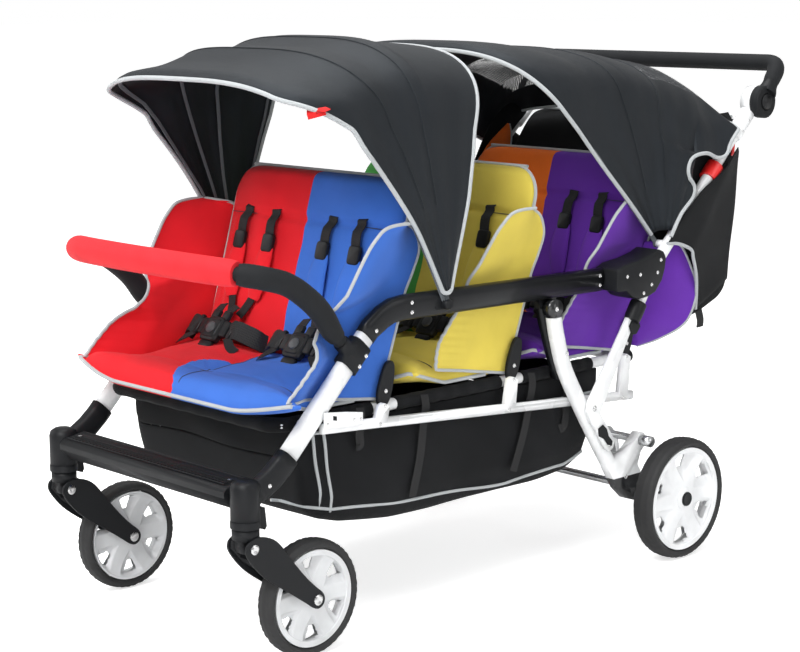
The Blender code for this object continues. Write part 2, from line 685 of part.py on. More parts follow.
def wheel(tag, side, s, centre, radius, bead, half, spokes, bore, hub_r, dish):
    """Tyre ring and spoked rim."""
    cx, cy, cz = centre
    ang = np.arange(32) * 2 * math.pi / 32
    mid = 0.5 * (radius + bead)
    ring = [(cx * s, cy + mid * math.cos(t), cz + mid * math.sin(t)) for t in ang]
    tyre = sweep("%s_tyre_%s" % (tag, side), ring, half, 0.5 * (radius - bead), 3.0, 8, True)
    paint(origin(tyre, (cx * s, cy, cz)), (0.02, 0.02, 0.02), 0.9)
    outer = bead - GAP
    depth = 0.004
    band = outer - depth / 2
    ring = [(cx * s, cy + band * math.cos(t), cz + band * math.sin(t)) for t in ang]
    rim = sweep("%s_rim_%s" % (tag, side), ring, half - 0.004, depth / 2, 4.0, 6, True)
    flat = star(hub_r + 0.008, outer - 0.0025, 0.0105, 0.0065, spokes, (cy, cz))
    web = plate("spokes_%s_%s" % (tag, side), flat, (cx - dish) * s, (cx + dish) * s, cut_col)
    boss = x_rod("boss_%s_%s" % (tag, side), (cy, cz), (cx - half + 0.001) * s,
                 (cx + half - 0.001) * s, hub_r, 16, cut_col)
    hole = x_rod("hole_%s_%s" % (tag, side), (cy, cz), (cx - half - 0.01) * s,
                 bore[1] * s, bore[0], 14, cut_col)
    cut(add(rim, web, boss), hole)
    paint(origin(rim, (cx * s, cy, cz)), (0.8, 0.8, 0.8), 0.35)


def wheels():
    """Two front and two rear wheels."""
    for side, s in SIDES:
        wheel("front", side, s, FRONT_WHEEL, FRONT_WHEEL_R, FRONT_BEAD_R, FRONT_WHEEL_HALF,
              FRONT_SPOKES, (0.0053, 0.300), 0.019, 0.007)
        wheel("rear", side, s, REAR_WHEEL, REAR_WHEEL_R, REAR_BEAD_R, REAR_WHEEL_HALF,
              REAR_SPOKES, (AXLE_R + GAP, 0.3785), 0.024, 0.008)


def castors():
    """Swivelling yokes, sprung forks and swivel lock tabs."""
    w = np.array(FRONT_WHEEL[1:])
    b = np.array(BOLT)
    d = unit(w - b)
    n = np.array([-d[1], d[0]])
    for side, s in SIDES:
        top = HEAD_Z[0] - GAP
        yoke = rod("caster_yoke_" + side, (0.274 * s, STEM_Y, 0.2420), (0.274 * s, STEM_Y, top),
                   YOKE_R, 24)
        neck = [(b[0] - 0.0145, 0.250), (b[0] - 0.0145, 0.228), (b[0] - 0.0102, 0.2178),
                (b[0], 0.2135), (b[0] + 0.0102, 0.2178), (b[0] + 0.0145, 0.228), (b[0] + 0.0145, 0.250)]
        block = plate("neck_" + side, neck, (0.274 - 0.010) * s, (0.274 + 0.010) * s, cut_col)
        hole = x_rod("neck_hole_" + side, BOLT, 0.250 * s, 0.300 * s, BOLT_R + GAP, 12, cut_col)
        cut(add(yoke, block), hole)
        paint(origin(yoke, (0.274 * s, STEM_Y, top)), (0.02, 0.02, 0.022), 0.5)
        crown = [b + d * 0.021 + n * 0.015, b + d * 0.021 - n * 0.015, b + d * 0.050 - n * 0.017,
                 b + d * 0.062 - n * 0.010, b + d * 0.062 + n * 0.010, b + d * 0.050 + n * 0.017]
        fork = plate("caster_fork_" + side, crown, (0.274 - 0.024) * s, (0.274 + 0.024) * s)
        arm = []
        for a, h in ((-0.013, 0.006), (-0.014, -0.003), (-0.008, -0.012), (0.03, -0.018), (0.06, -0.016),
                     (0.12, -0.010), (0.172, -0.012), (0.190, -0.011), (0.199, -0.004), (0.199, 0.005),
                     (0.190, 0.011), (0.172, 0.011), (0.12, 0.010), (0.06, 0.017), (0.03, 0.018),
                     (-0.004, 0.014)):
            arm.append(tuple(b + d * a + n * h))
        for tag, off in (("a", -ARM_OFFSET), ("b", ARM_OFFSET)):
            x0 = 0.274 + off - ARM_THICK / 2
            add(fork, plate("arm_%s_%s" % (tag, side), arm, x0 * s, (x0 + ARM_THICK) * s, cut_col))
        add(fork, x_rod("fork_bolt_" + side, BOLT, 0.2480 * s, 0.3000 * s, BOLT_R, 12, cut_col))
        add(fork, x_rod("fork_axle_" + side, FRONT_WHEEL[1:], 0.2480 * s, 0.3000 * s, 0.0050, 12, cut_col))
        paint(origin(fork, (0.274 * s, *BOLT)), (0.02, 0.02, 0.022), 0.5)
        tab = [(-0.6944, 0.256), (-0.6840, 0.252), (-0.6800, 0.258), (-0.6840, 0.292), (-0.6944, 0.292)]
        lock = plate("swivel_lock_" + side, tab, 0.2660 * s, 0.2820 * s)
        paint(origin(lock, (0.274 * s, -0.6944, 0.292)), (0.03, 0.03, 0.032), 0.5)


def rear_legs():
    """Banana-shaped legs with eyes for the axle and the rear bar."""
    line = [(0.0415, 0.548), (0.047, 0.520), (0.060, 0.474), (0.077, 0.430), (0.105, 0.383),
            (0.151, 0.312), (0.220, 0.211), (0.262, 0.168)]
    foot = [(0.208, 0.205), (0.230, 0.226), (0.262, 0.232), (0.296, 0.256), (0.306, 0.266), (0.319, 0.264),
            (0.327, 0.252), (0.324, 0.238), (0.310, 0.226), (0.300, 0.200), (0.318, 0.172),
            (0.352, 0.148), (0.372, 0.147), (0.386, 0.138), (0.390, 0.124), (0.382, 0.111),
            (0.366, 0.107), (0.320, 0.116), (0.270, 0.132), (0.240, 0.158)]
    x0, x1 = REAR_LEG_X
    xc = 0.5 * (x0 + x1)
    for side, s in SIDES:
        path = spline([(xc * s, y, z) for y, z in line], 2)
        obj = sweep("rear_leg_" + side, path, 0.5 * (x1 - x0), 0.0170, 3.2, 12)
        head = x_rod("leg_head_" + side, PIVOT_A, x0 * s, x1 * s, 0.0188, 24, cut_col)
        sole = plate("foot_" + side, foot, (x0 + 0.0002) * s, (x1 - 0.0002) * s, cut_col)
        pin_a = x_rod("pin_a_" + side, PIVOT_A, 0.2700 * s, 0.2900 * s, 0.0060, 14, cut_col)
        pin_c = x_rod("pin_c_" + side, PIVOT_C, 0.2950 * s, 0.3140 * s, 0.0060, 14, cut_col)
        eye = x_rod("axle_eye_" + side, REAR_WHEEL[1:], 0.270 * s, 0.320 * s, AXLE_R + GAP, 16, cut_col)
        bar = x_rod("bar_eye_" + side, BAR_YZ, 0.270 * s, 0.320 * s, AXLE_R + GAP, 16, cut_col)
        cut(add(obj, head, sole, pin_a, pin_c), eye, bar)
        paint(origin(obj, (xc * s, *PIVOT_A)), (0.85, 0.85, 0.84), 0.3)


def axle_and_bar():
    """Axle tube, and the rear bar with its knobs and lever."""
    axle = x_rod("rear_axle", REAR_WHEEL[1:], -0.3780, 0.3780, AXLE_R, 16)
    paint(origin(axle, (0, *REAR_WHEEL[1:])), (0.7, 0.7, 0.7), 0.3, 0.8)
    bar = x_rod("brake_bar", BAR_YZ, -0.3300, 0.3300, AXLE_R, 16)
    for side, s in SIDES:
        add(bar, x_rod("knob_" + side, BAR_YZ, 0.3056 * s, 0.3320 * s, 0.0115, 16, cut_col))
        out = [(0.300, 0.262), (0.322, 0.262), (0.344, 0.238), (0.350, 0.205), (0.343, 0.187),
               (0.336, 0.188), (0.339, 0.206), (0.331, 0.230), (0.316, 0.240), (0.300, 0.238)]
        add(bar, plate("lever_" + side, out, 0.190 * s, 0.215 * s, cut_col))
    paint(origin(bar, (0, *BAR_YZ)), (0.7, 0.7, 0.7), 0.3, 0.8)


def braces():
    """Flat plate from the leg to the stub, ending in a collar."""
    c = np.array(PIVOT_C)
    u = np.array(STUB_DIR)
    v = np.array([-u[1], u[0]])
    out = [c + u * 0.226 - v * 0.012, c + u * 0.160 - v * 0.014, c + u * 0.080 - v * 0.019,
           c - v * 0.023, (0.190, 0.300), (0.213, 0.268), (0.209, 0.252), (0.197, 0.246),
           (0.184, 0.254), (0.163, 0.286), (0.139, 0.315), (0.127, 0.338), (0.132, 0.360),
           c + u * 0.050 + v * 0.020, c + u * 0.100 + v * 0.016, c + u * 0.180 + v * 0.013,
           c + u * 0.226 + v * 0.012]
    end = np.array(STUB_END) - u * GAP
    for side, s in SIDES:
        obj = plate("brace_" + side, [tuple(p) for p in out], BRACE_X[0] * s, BRACE_X[1] * s)
        low = end - u * 0.040
        collar = rod("collar_" + side, (TUBE_X_LOW * s, *low), (TUBE_X_LOW * s, *end), 0.0160, 20, cut_col)
        hole = x_rod("brace_hole_" + side, PIVOT_C, 0.290 * s, 0.330 * s, 0.0063, 14, cut_col)
        cut(add(bevel(obj, 0.0015, 1), collar), hole)
        paint(origin(obj, (0.310 * s, *PIVOT_C)), (0.85, 0.85, 0.84), 0.3)


def hoop(x_hub, shoulder, crown, steps=9, wide=0.289):
    """Half of a bow as pairs (x, distance from the clip)."""
    start = shoulder - 0.060
    out = [(x_hub, 0.0), (x_hub, 0.10), (x_hub - 0.001, 0.20), (0.5 * (x_hub + wide), start - 0.05)]
    for t in np.linspace(0, math.pi / 2, steps):
        x = wide * max(math.cos(t), 0.0) ** 0.60
        out.append((x, start + (crown - start) * math.sin(t) ** 0.85))
    return out


def hoop_path(half, clip, angle):
    """Whole bow in space, from the left clip over the top to the right clip."""
    a = math.radians(angle)
    full = half + [(-x, r) for x, r in half[-2::-1]]
    return np.array([(x, clip[0] + r * math.cos(a), clip[1] + r * math.sin(a)) for x, r in full])


BOWS_F = (("canopy_bow_front", 130.0, 0.2990, 0.484, 0.553),
          ("canopy_bow_mid_a", 115.0, 0.3023, 0.408, 0.505),
          ("canopy_bow_mid_b", 100.0, 0.3056, 0.385, 0.484))


def bow(name, clip, angle, x_hub, shoulder, crown, thick):
    """Flat bow with round ends on the clip axis."""
    path = hoop_path(hoop(x_hub, shoulder, crown, 7), clip, angle)
    a = math.radians(angle)
    out_of_plane = (0, -math.sin(a), math.cos(a))
    obj = sweep(name, path, 0.0050, thick, 3.0, 6, False, out_of_plane)
    for side, s in SIDES:
        wide = thick + 0.00012
        eye = x_rod("eye_%s_%s" % (name, side), clip, (x_hub - wide) * s, (x_hub + wide) * s,
                    0.0085, 12, cut_col)
        add(obj, eye)
    origin(obj, (0, *clip))
    paint(obj, (0.03, 0.03, 0.03), 0.5)


def canopy_cloth(name, clip, rows, start, colour):
    """Shell of cloth over the bows: one hoop of points per row."""
    grid = []
    for angle, x_hub, shoulder, crown in rows:
        half = [(x, r) for x, r in hoop(x_hub, shoulder, crown, 7, 0.2925) if r > 0.001]
        half = [(x_hub, start)] + [q for q in half if q[1] > start + 0.02]
        grid.append(hoop_path(half, clip, angle))
    width = min(len(g) for g in grid)
    verts = np.concatenate(grid)
    faces = []
    for j in range(len(grid) - 1):
        for i in range(width - 1):
            k = j * width + i
            faces.append((k, k + 1, k + width + 1, k + width))
    mesh_obj = make(name, verts, faces)
    shell = mesh_obj.modifiers.new("cloth", "SOLIDIFY")
    shell.thickness = 0.0020
    shell.offset = 1.0
    paint(mesh_obj, colour, 0.9)
    return mesh_obj


def canopies():
    """Bows and cloth of both canopies."""
    for name, angle, x_hub, shoulder, crown in BOWS_F:
        bow(name, CLIP_F, angle, x_hub, shoulder, crown, BOW_HALF[0])
    bow("rear_canopy_bow", CLIP_R, 134.7, 0.2940, 0.455, 0.565, 0.0030)
    front = [(132.0, 0.3079, 0.4885, 0.5590), (130.0, 0.3079, 0.4875, 0.5565), (122.5, 0.3079, 0.443, 0.5290),
             (115.0, 0.3079, 0.4115, 0.5085), (107.5, 0.3079, 0.396, 0.4950), (100.0, 0.3079, 0.388, 0.4865),
             (88.0, 0.3079, 0.388, 0.4830), (76.0, 0.3079, 0.390, 0.4780)]
    canopy_cloth("front_canopy", CLIP_F, front, 0.045, (0.045, 0.045, 0.05))
    rear = [(136.0, 0.2974, 0.460, 0.5730), (133.9, 0.2974, 0.4595, 0.5710), (120.0, 0.2974, 0.412, 0.466),
            (106.0, 0.2974, 0.371, 0.409), (90.0, 0.2974, 0.322, 0.383), (75.0, 0.2974, 0.2985, 0.377),
            (60.0, 0.2974, 0.2985, 0.382), (50.0, 0.2974, 0.310, 0.379)]
    canopy_cloth("rear_canopy", CLIP_R, rear, 0.045, (0.045, 0.045, 0.05))


def rear_bag():
    """Storage bag hanging between the handle tubes."""
    prof = [(0.440, 0.700), (0.408, 0.560), (0.425, 0.490), (0.445, 0.477), (0.500, 0.490),
            (0.543, 0.508), (0.600, 0.525), (0.632, 0.552), (0.646, 0.620), (0.652, 0.720),
            (0.654, 0.800), (0.652, 0.880), (0.642, 0.905), (0.612, 0.884), (0.582, 0.850), (0.548, 0.790),
            (0.480, 0.730)]
    centre = np.array([0.540, 0.640])
    loops = []
    for x, k in ((-0.2968, 0.96), (-0.290, 1.0), (-0.262, 1.0), (-0.16, 1.0), (-0.05, 1.0), (0.05, 1.0),
                 (0.16, 1.0), (0.262, 1.0), (0.290, 1.0), (0.2968, 0.96)):
        pts = centre + (np.array(prof) - centre) * k
        loops.append(np.array([(x, y, z) for y, z in pts]))
    paint(loft("rear_bag", loops), (0.045, 0.045, 0.05), 0.9)


side_beams()
front_legs()
leg_knuckles()
castor_heads()
footrest()
handle_tubes()
rear_knuckles()
seat_rail()
seat_backs()
seat_bases()
link_rails()
basket()
bumper()
handle()
sliders()
wheels()
castors()
rear_legs()
axle_and_bar()
braces()
canopies()
rear_bag()

for helper in [o for o in bpy.data.objects if o.hide_render]:
    for col in list(helper.users_collection):
        col.objects.unlink(helper)
    cut_col.objects.link(helper)
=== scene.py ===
"""Six-seat stroller: cloth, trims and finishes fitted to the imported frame."""
import json
import math

import bmesh
import bpy
import numpy as np
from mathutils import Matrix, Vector


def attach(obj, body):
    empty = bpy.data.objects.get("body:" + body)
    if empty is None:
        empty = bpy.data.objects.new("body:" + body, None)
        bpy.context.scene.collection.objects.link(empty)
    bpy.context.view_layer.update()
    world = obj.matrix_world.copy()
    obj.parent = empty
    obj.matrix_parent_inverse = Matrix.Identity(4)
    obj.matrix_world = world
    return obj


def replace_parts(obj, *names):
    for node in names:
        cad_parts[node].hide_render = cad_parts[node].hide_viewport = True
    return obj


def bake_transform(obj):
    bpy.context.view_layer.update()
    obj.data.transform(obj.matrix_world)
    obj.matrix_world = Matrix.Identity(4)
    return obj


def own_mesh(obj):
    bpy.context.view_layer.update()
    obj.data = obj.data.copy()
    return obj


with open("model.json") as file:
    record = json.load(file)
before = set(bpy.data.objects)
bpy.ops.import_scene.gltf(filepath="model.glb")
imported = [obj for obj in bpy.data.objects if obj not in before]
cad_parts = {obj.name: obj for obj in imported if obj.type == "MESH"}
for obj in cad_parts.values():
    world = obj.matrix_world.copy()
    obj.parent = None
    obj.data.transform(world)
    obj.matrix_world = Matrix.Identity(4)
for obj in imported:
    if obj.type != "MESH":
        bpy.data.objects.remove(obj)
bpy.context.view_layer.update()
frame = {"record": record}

PI = math.pi
# Along Y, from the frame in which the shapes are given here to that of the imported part
Y0 = 0.0135
# Points of a piece nearer than this are merged
DOUBLES = 1e-6
# Step of the map across a small form, in metres
MAP_STEP = 0.004

# Colours, in linear light
RED = (0.72, 0.012, 0.020)
BLUE = (0.045, 0.150, 0.560)
GREEN = (0.060, 0.330, 0.060)
YELLOW = (0.700, 0.560, 0.090)
ORANGE = (0.900, 0.170, 0.018)
PURPLE = (0.130, 0.030, 0.370)
BLACK_CLOTH = (0.0060, 0.0068, 0.0085)
PIPING = (0.420, 0.440, 0.450)
WHITE = (0.800, 0.810, 0.815)
MOULD = (0.0085, 0.0092, 0.0105)
# Heights between which the rear leg is white
LEG_WHITE = (0.181, 0.5385)


# Materials
def nodes_of(name):
    """New node material: returns material, tree, shader."""
    mat = bpy.data.materials.new(name)
    mat.use_nodes = True
    tree = mat.node_tree
    return mat, tree, tree.nodes["Principled BSDF"]


def coords(tree, kind="Object", scale=(1, 1, 1)):
    """Texture coordinates through a mapping."""
    tex = tree.nodes.new("ShaderNodeTexCoord")
    mapping = tree.nodes.new("ShaderNodeMapping")
    mapping.inputs["Scale"].default_value = scale
    tree.links.new(tex.outputs[kind], mapping.inputs["Vector"])
    return mapping.outputs["Vector"]


def noise(tree, vec, scale, detail=3.0, rough=0.5):
    """Noise over a vector, from 0 to 1."""
    n = tree.nodes.new("ShaderNodeTexNoise")
    n.inputs["Scale"].default_value = scale
    n.inputs["Detail"].default_value = detail
    n.inputs["Roughness"].default_value = rough
    tree.links.new(vec, n.inputs["Vector"])
    return n.outputs["Fac"]


def wave(tree, vec, scale, axis, distortion=0.0):
    """Band pattern along one axis."""
    w = tree.nodes.new("ShaderNodeTexWave")
    w.bands_direction = axis
    w.inputs["Scale"].default_value = scale
    w.inputs["Distortion"].default_value = distortion
    tree.links.new(vec, w.inputs["Vector"])
    return w.outputs["Fac"]


def maths(tree, op, a, b):
    """Math node on two values or sockets."""
    m = tree.nodes.new("ShaderNodeMath")
    m.operation = op
    for i, v in enumerate((a, b)):
        if isinstance(v, (int, float)):
            m.inputs[i].default_value = v
        else:
            tree.links.new(v, m.inputs[i])
    return m.outputs[0]


def ramp(tree, fac, stops):
    """Colour that passes evenly from stop to stop as the value rises."""
    r = tree.nodes.new("ShaderNodeValToRGB")
    el = r.color_ramp.elements
    while len(el) < len(stops):
        el.new(0.5)
    for e, (pos, col) in zip(el, stops):
        e.position = pos
        e.color = (*col, 1.0)
    tree.links.new(fac, r.inputs["Fac"])
    return r.outputs["Color"]


def blend_colour(tree, fac, a, b):
    """Mix two colours or sockets."""
    m = tree.nodes.new("ShaderNodeMix")
    m.data_type = "RGBA"
    tree.links.new(fac, m.inputs["Factor"])
    for key, v in (("A", a), ("B", b)):
        sock = [s for s in m.inputs if s.name == key and s.type == "RGBA"][0]
        if isinstance(v, tuple):
            sock.default_value = (*v, 1.0)
        else:
            tree.links.new(v, sock)
    return [s for s in m.outputs if s.type == "RGBA"][0]


def bump(tree, shader, height, strength, distance):
    """Bump from a height value."""
    b = tree.nodes.new("ShaderNodeBump")
    b.inputs["Strength"].default_value = strength
    b.inputs["Distance"].default_value = distance
    tree.links.new(height, b.inputs["Height"])
    tree.links.new(b.outputs["Normal"], shader.inputs["Normal"])


def shade(colour, k):
    """Colour times a number."""
    return tuple(min(1.0, c * k) for c in colour)


def cloth(name, colour, other=None, attr=None, rough=0.85, sheen=0.08, weave=520.0, uv="UV",
          vary=0.10, strength=0.35):
    """Woven polyester: two crossed bands of yarn as bump, with soft patches of tone.
    Where other is given, the colour changes where the attribute passes one half."""
    mat, tree, shader = nodes_of(name)
    vec = coords(tree, uv)
    wa = wave(tree, vec, weave, "X")
    wb = wave(tree, vec, weave, "Y")
    weft = maths(tree, "MAXIMUM", wa, wb)
    big = noise(tree, coords(tree, "Object"), 9.0, 4.0)
    height = maths(tree, "ADD", maths(tree, "MULTIPLY", weft, 0.35),
                   maths(tree, "MULTIPLY", noise(tree, coords(tree, "Object"), 60.0, 3.0), 0.8))
    bump(tree, shader, height, strength, 0.0012)
    col = ramp(tree, big, [(0.25, shade(colour, 1 - vary)), (0.75, shade(colour, 1 + vary))])
    if other is not None:
        col_b = ramp(tree, big, [(0.25, shade(other, 1 - vary)), (0.75, shade(other, 1 + vary))])
        a = tree.nodes.new("ShaderNodeAttribute")
        a.attribute_name = attr
        sharp = maths(tree, "GREATER_THAN", a.outputs["Fac"], 0.5)
        col = blend_colour(tree, sharp, col, col_b)
    tree.links.new(col, shader.inputs["Base Color"])
    shader.inputs["Roughness"].default_value = rough
    shader.inputs["Sheen Weight"].default_value = sheen
    shader.inputs["Sheen Roughness"].default_value = 0.5
    shader.inputs["Specular IOR Level"].default_value = 0.14
    return mat


def canopy_cloth(name, colour, mesh_colour):
    """Coated polyester with mesh windows where the attribute window is 1."""
    mat, tree, shader = nodes_of(name)
    vec = coords(tree, "UV")
    weft = maths(tree, "MAXIMUM", wave(tree, vec, 430.0, "X"), wave(tree, vec, 430.0, "Y"))
    folds = noise(tree, coords(tree, "Object"), 11.0, 5.0, 0.55)
    height = maths(tree, "ADD", maths(tree, "MULTIPLY", weft, 0.16), maths(tree, "MULTIPLY", folds, 3.2))
    bump(tree, shader, height, 0.32, 0.0030)
    # The colour follows the fold noise that raises the bump: painted shade in the fold troughs and painted
    # highlight on the crests.
    col = ramp(tree, folds, [(0.25, shade(colour, 0.78)), (0.8, shade(colour, 1.35))])
    dots = tree.nodes.new("ShaderNodeTexVoronoi")
    dots.inputs["Scale"].default_value = 230.0
    dots.inputs["Randomness"].default_value = 0.0
    tree.links.new(vec, dots.inputs["Vector"])
    # The hole colour is painted far darker than the threads, as the shade seen through the mesh; the alpha
    # opens the holes below 0.36, so a darkened rim of this painted shade stays round each hole.
    holes = ramp(tree, dots.outputs["Distance"], [(0.30, shade(mesh_colour, 0.25)), (0.42, mesh_colour)])
    a = tree.nodes.new("ShaderNodeAttribute")
    a.attribute_name = "window"
    tree.links.new(blend_colour(tree, maths(tree, "GREATER_THAN", a.outputs["Fac"], 0.5), col, holes),
                   shader.inputs["Base Color"])
    shader.inputs["Roughness"].default_value = 0.50
    shader.inputs["Sheen Weight"].default_value = 0.03
    shader.inputs["Specular IOR Level"].default_value = 0.30
    shader.inputs["Specular Tint"].default_value = (0.78, 0.90, 1.0, 1)
    hole = maths(tree, "LESS_THAN", dots.outputs["Distance"], 0.36)
    open_part = maths(tree, "MULTIPLY", maths(tree, "GREATER_THAN", a.outputs["Fac"], 0.5), hole)
    tree.links.new(maths(tree, "SUBTRACT", 1.0, open_part), shader.inputs["Alpha"])
    return mat


def moulded(name, colour, rough=0.5, grain=900.0, strength=0.12, bands=None, coat=0.0):
    """Moulded plastic: fine spark grain, with patches of gloss. Each of bands is (axis,
    limit, above, colour): the colour above or below a limit along an axis."""
    mat, tree, shader = nodes_of(name)
    vec = coords(tree, "Object")
    fine = noise(tree, vec, grain, 2.0)
    bump(tree, shader, fine, strength, 0.0004)
    big = noise(tree, vec, 14.0, 3.0)
    col = ramp(tree, big, [(0.3, shade(colour, 0.90)), (0.7, shade(colour, 1.10))])
    for axis, limit, above, tint in bands or ():
        sep = tree.nodes.new("ShaderNodeSeparateXYZ")
        tree.links.new(vec, sep.inputs[0])
        op = "GREATER_THAN" if above else "LESS_THAN"
        fac = maths(tree, op, sep.outputs[axis], limit)
        col = blend_colour(tree, fac, col, tint)
    tree.links.new(col, shader.inputs["Base Color"])
    tree.links.new(ramp(tree, big, [(0.3, (rough - 0.05,) * 3), (0.7, (rough + 0.06,) * 3)]),
                   shader.inputs["Roughness"])
    shader.inputs["Coat Weight"].default_value = coat
    if max(colour) < 0.1:
        shader.inputs["Specular IOR Level"].default_value = 0.20
    return mat


def foam(name, colour):
    """Closed-cell foam grip: small pores."""
    mat, tree, shader = nodes_of(name)
    vec = coords(tree, "Object")
    cells = tree.nodes.new("ShaderNodeTexVoronoi")
    cells.inputs["Scale"].default_value = 700.0
    tree.links.new(vec, cells.inputs["Vector"])
    bump(tree, shader, cells.outputs["Distance"], 0.35, 0.0006)
    big = noise(tree, vec, 22.0, 3.0)
    tree.links.new(ramp(tree, big, [(0.3, shade(colour, 0.9)), (0.7, shade(colour, 1.1))]),
                   shader.inputs["Base Color"])
    shader.inputs["Roughness"].default_value = 0.74
    shader.inputs["Sheen Weight"].default_value = 0.03
    shader.inputs["Specular IOR Level"].default_value = 0.22
    return mat


def metal(name, colour, rough):
    """Plated steel with drawn lines."""
    mat, tree, shader = nodes_of(name)
    vec = coords(tree, "Object", (4.0, 260.0, 260.0))
    lines = noise(tree, vec, 3.0, 3.0)
    tree.links.new(ramp(tree, lines, [(0.3, (rough - 0.08,) * 3), (0.7, (rough + 0.1,) * 3)]),
                   shader.inputs["Roughness"])
    tree.links.new(ramp(tree, lines, [(0.2, shade(colour, 0.9)), (0.8, shade(colour, 1.05))]),
                   shader.inputs["Base Color"])
    shader.inputs["Metallic"].default_value = 1.0
    return mat


def ribbed(name, colour, scale, axis="Y"):
    """Webbing: ribs across the strap and a twill along it."""
    mat, tree, shader = nodes_of(name)
    vec = coords(tree, "UV")
    ribs = wave(tree, vec, scale, axis)
    twill = wave(tree, vec, scale * 0.6, "DIAGONAL")
    bump(tree, shader, maths(tree, "ADD", ribs, twill), 0.5, 0.0008)
    # The colour follows the rib wave that raises the bump: painted shade between the ribs and painted
    # highlight on their tops.
    tree.links.new(ramp(tree, ribs, [(0.2, shade(colour, 0.75)), (0.8, shade(colour, 1.3))]),
                   shader.inputs["Base Color"])
    shader.inputs["Roughness"].default_value = 0.75
    return mat


def rubber(name, colour):
    """Tyre rubber: dusty, with fine moulding lines."""
    mat, tree, shader = nodes_of(name)
    vec = coords(tree, "Object")
    big = noise(tree, vec, 30.0, 5.0, 0.6)
    bump(tree, shader, noise(tree, vec, 500.0, 3.0), 0.2, 0.0006)
    tree.links.new(ramp(tree, big, [(0.3, shade(colour, 0.85)), (0.75, shade(colour, 1.35))]),
                   shader.inputs["Base Color"])
    shader.inputs["Roughness"].default_value = 0.68
    return mat


M = {
    "row_1": cloth("cloth red and blue", RED, BLUE, "near"),
    "row_2": cloth("cloth green and yellow", GREEN, YELLOW, "near"),
    "row_3": cloth("cloth orange and purple", ORANGE, PURPLE, "near"),
    "canopy": canopy_cloth("canopy cloth black", BLACK_CLOTH, (0.030, 0.032, 0.036)),
    "bag": cloth("bag cloth black", (0.0045, 0.0050, 0.0060), rough=0.7, sheen=0.04, vary=0.25,
                 strength=0.5),
    # Dark line laid along the seams of the backs and seats: painted shade of the seams.
    "seam_shade": moulded("seam shade line", (0.05, 0.05, 0.06), 0.8, 900.0, 0.3),
    "button": moulded("button grey", (0.060, 0.062, 0.066), 0.35, coat=0.2),
    "piping": cloth("piping pale grey", PIPING, weave=900.0, vary=0.05, sheen=0.2),
    "binding": cloth("binding grey", (0.11, 0.12, 0.13), weave=700.0, vary=0.08),
    "webbing": ribbed("webbing black", (0.0055, 0.0056, 0.0064), 320.0),
    "foam": foam("foam black", (0.0095, 0.0105, 0.0120)),
    "foam_red": foam("foam red", (0.70, 0.020, 0.028)),
    "mould": moulded("moulded black", MOULD, 0.46),
    "buckle": moulded("buckle grey black", (0.0120, 0.0125, 0.0135), 0.38),
    "beam": moulded("beam black", MOULD, 0.34, coat=0.06),
    "white": moulded("painted white", WHITE, 0.28, 260.0, 0.03, coat=0.35),
    "leg_white": moulded("leg white with black ends", WHITE, 0.28, 260.0, 0.03,
                         ((2, LEG_WHITE[0], False, MOULD), (2, LEG_WHITE[1], True, MOULD)), 0.35),
    "rim": moulded("rim silver grey", (0.62, 0.63, 0.64), 0.36, 400.0, 0.05, coat=0.2),
    "rim_light": moulded("rim pale grey", (0.80, 0.81, 0.82), 0.36, 400.0, 0.05, coat=0.2),
    "tyre": rubber("tyre rubber", (0.0130, 0.0130, 0.0135)),
    "steel": metal("plated steel", (0.62, 0.63, 0.64), 0.30),
    "rivet": metal("rivet steel", (0.70, 0.70, 0.70), 0.24),
    "trigger": moulded("trigger red", (0.70, 0.016, 0.014), 0.33, coat=0.3),
    "tab": cloth("tab red", (0.62, 0.02, 0.02), weave=900.0),
}


# Mesh code
def quads(m, n, wrap_m=False, wrap_n=False, start=0):
    """Faces of an m by n grid of points, as one array."""
    i = np.arange(m if wrap_m else m - 1)
    j = np.arange(n if wrap_n else n - 1)
    i, j = [g.ravel() for g in np.meshgrid(i, j, indexing="ij")]
    i2, j2 = (i + 1) % m, (j + 1) % n
    return start + np.stack([i * n + j, i * n + j2, i2 * n + j2, i2 * n + j], 1)


def arc(P, axis):
    """Distance along one direction of a grid, measured on its middle line."""
    mid = np.take(P, P.shape[1 - axis] // 2, axis=1 - axis)
    step = np.linalg.norm(np.diff(mid, axis=0), axis=1)
    return np.concatenate([[0.0], np.cumsum(step)])


def remeshed(mesh, merge=0.0, outwards=True):
    """Merge a mesh's doubles and turn its faces outwards."""
    bm = bmesh.new()
    bm.from_mesh(mesh)
    if merge:
        bmesh.ops.remove_doubles(bm, verts=bm.verts, dist=merge)
    if outwards:
        bmesh.ops.recalc_face_normals(bm, faces=bm.faces)
    bm.to_mesh(mesh)
    bm.free()


def shaded(mesh, sharp):
    """Smooth shading, with edges past the angle sharp, in degrees, kept crisp."""
    mesh.polygons.foreach_set("use_smooth", [True] * len(mesh.polygons))
    if sharp:
        mesh.set_sharp_from_angle(angle=math.radians(sharp))


def placed(name, mesh, mat, body):
    """Object from a mesh, with its material and slot, that rides on a body if one is given."""
    obj = bpy.data.objects.new(name, mesh)
    bpy.context.scene.collection.objects.link(obj)
    mesh.materials.append(M[mat])
    if body:
        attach(obj, body)
    return obj


def set_attribute(mesh, key, values):
    """One number for each point of a mesh."""
    attribute = mesh.attributes.new(key, "FLOAT", "POINT")
    attribute.data.foreach_set("value", np.asarray(values, float).ravel())


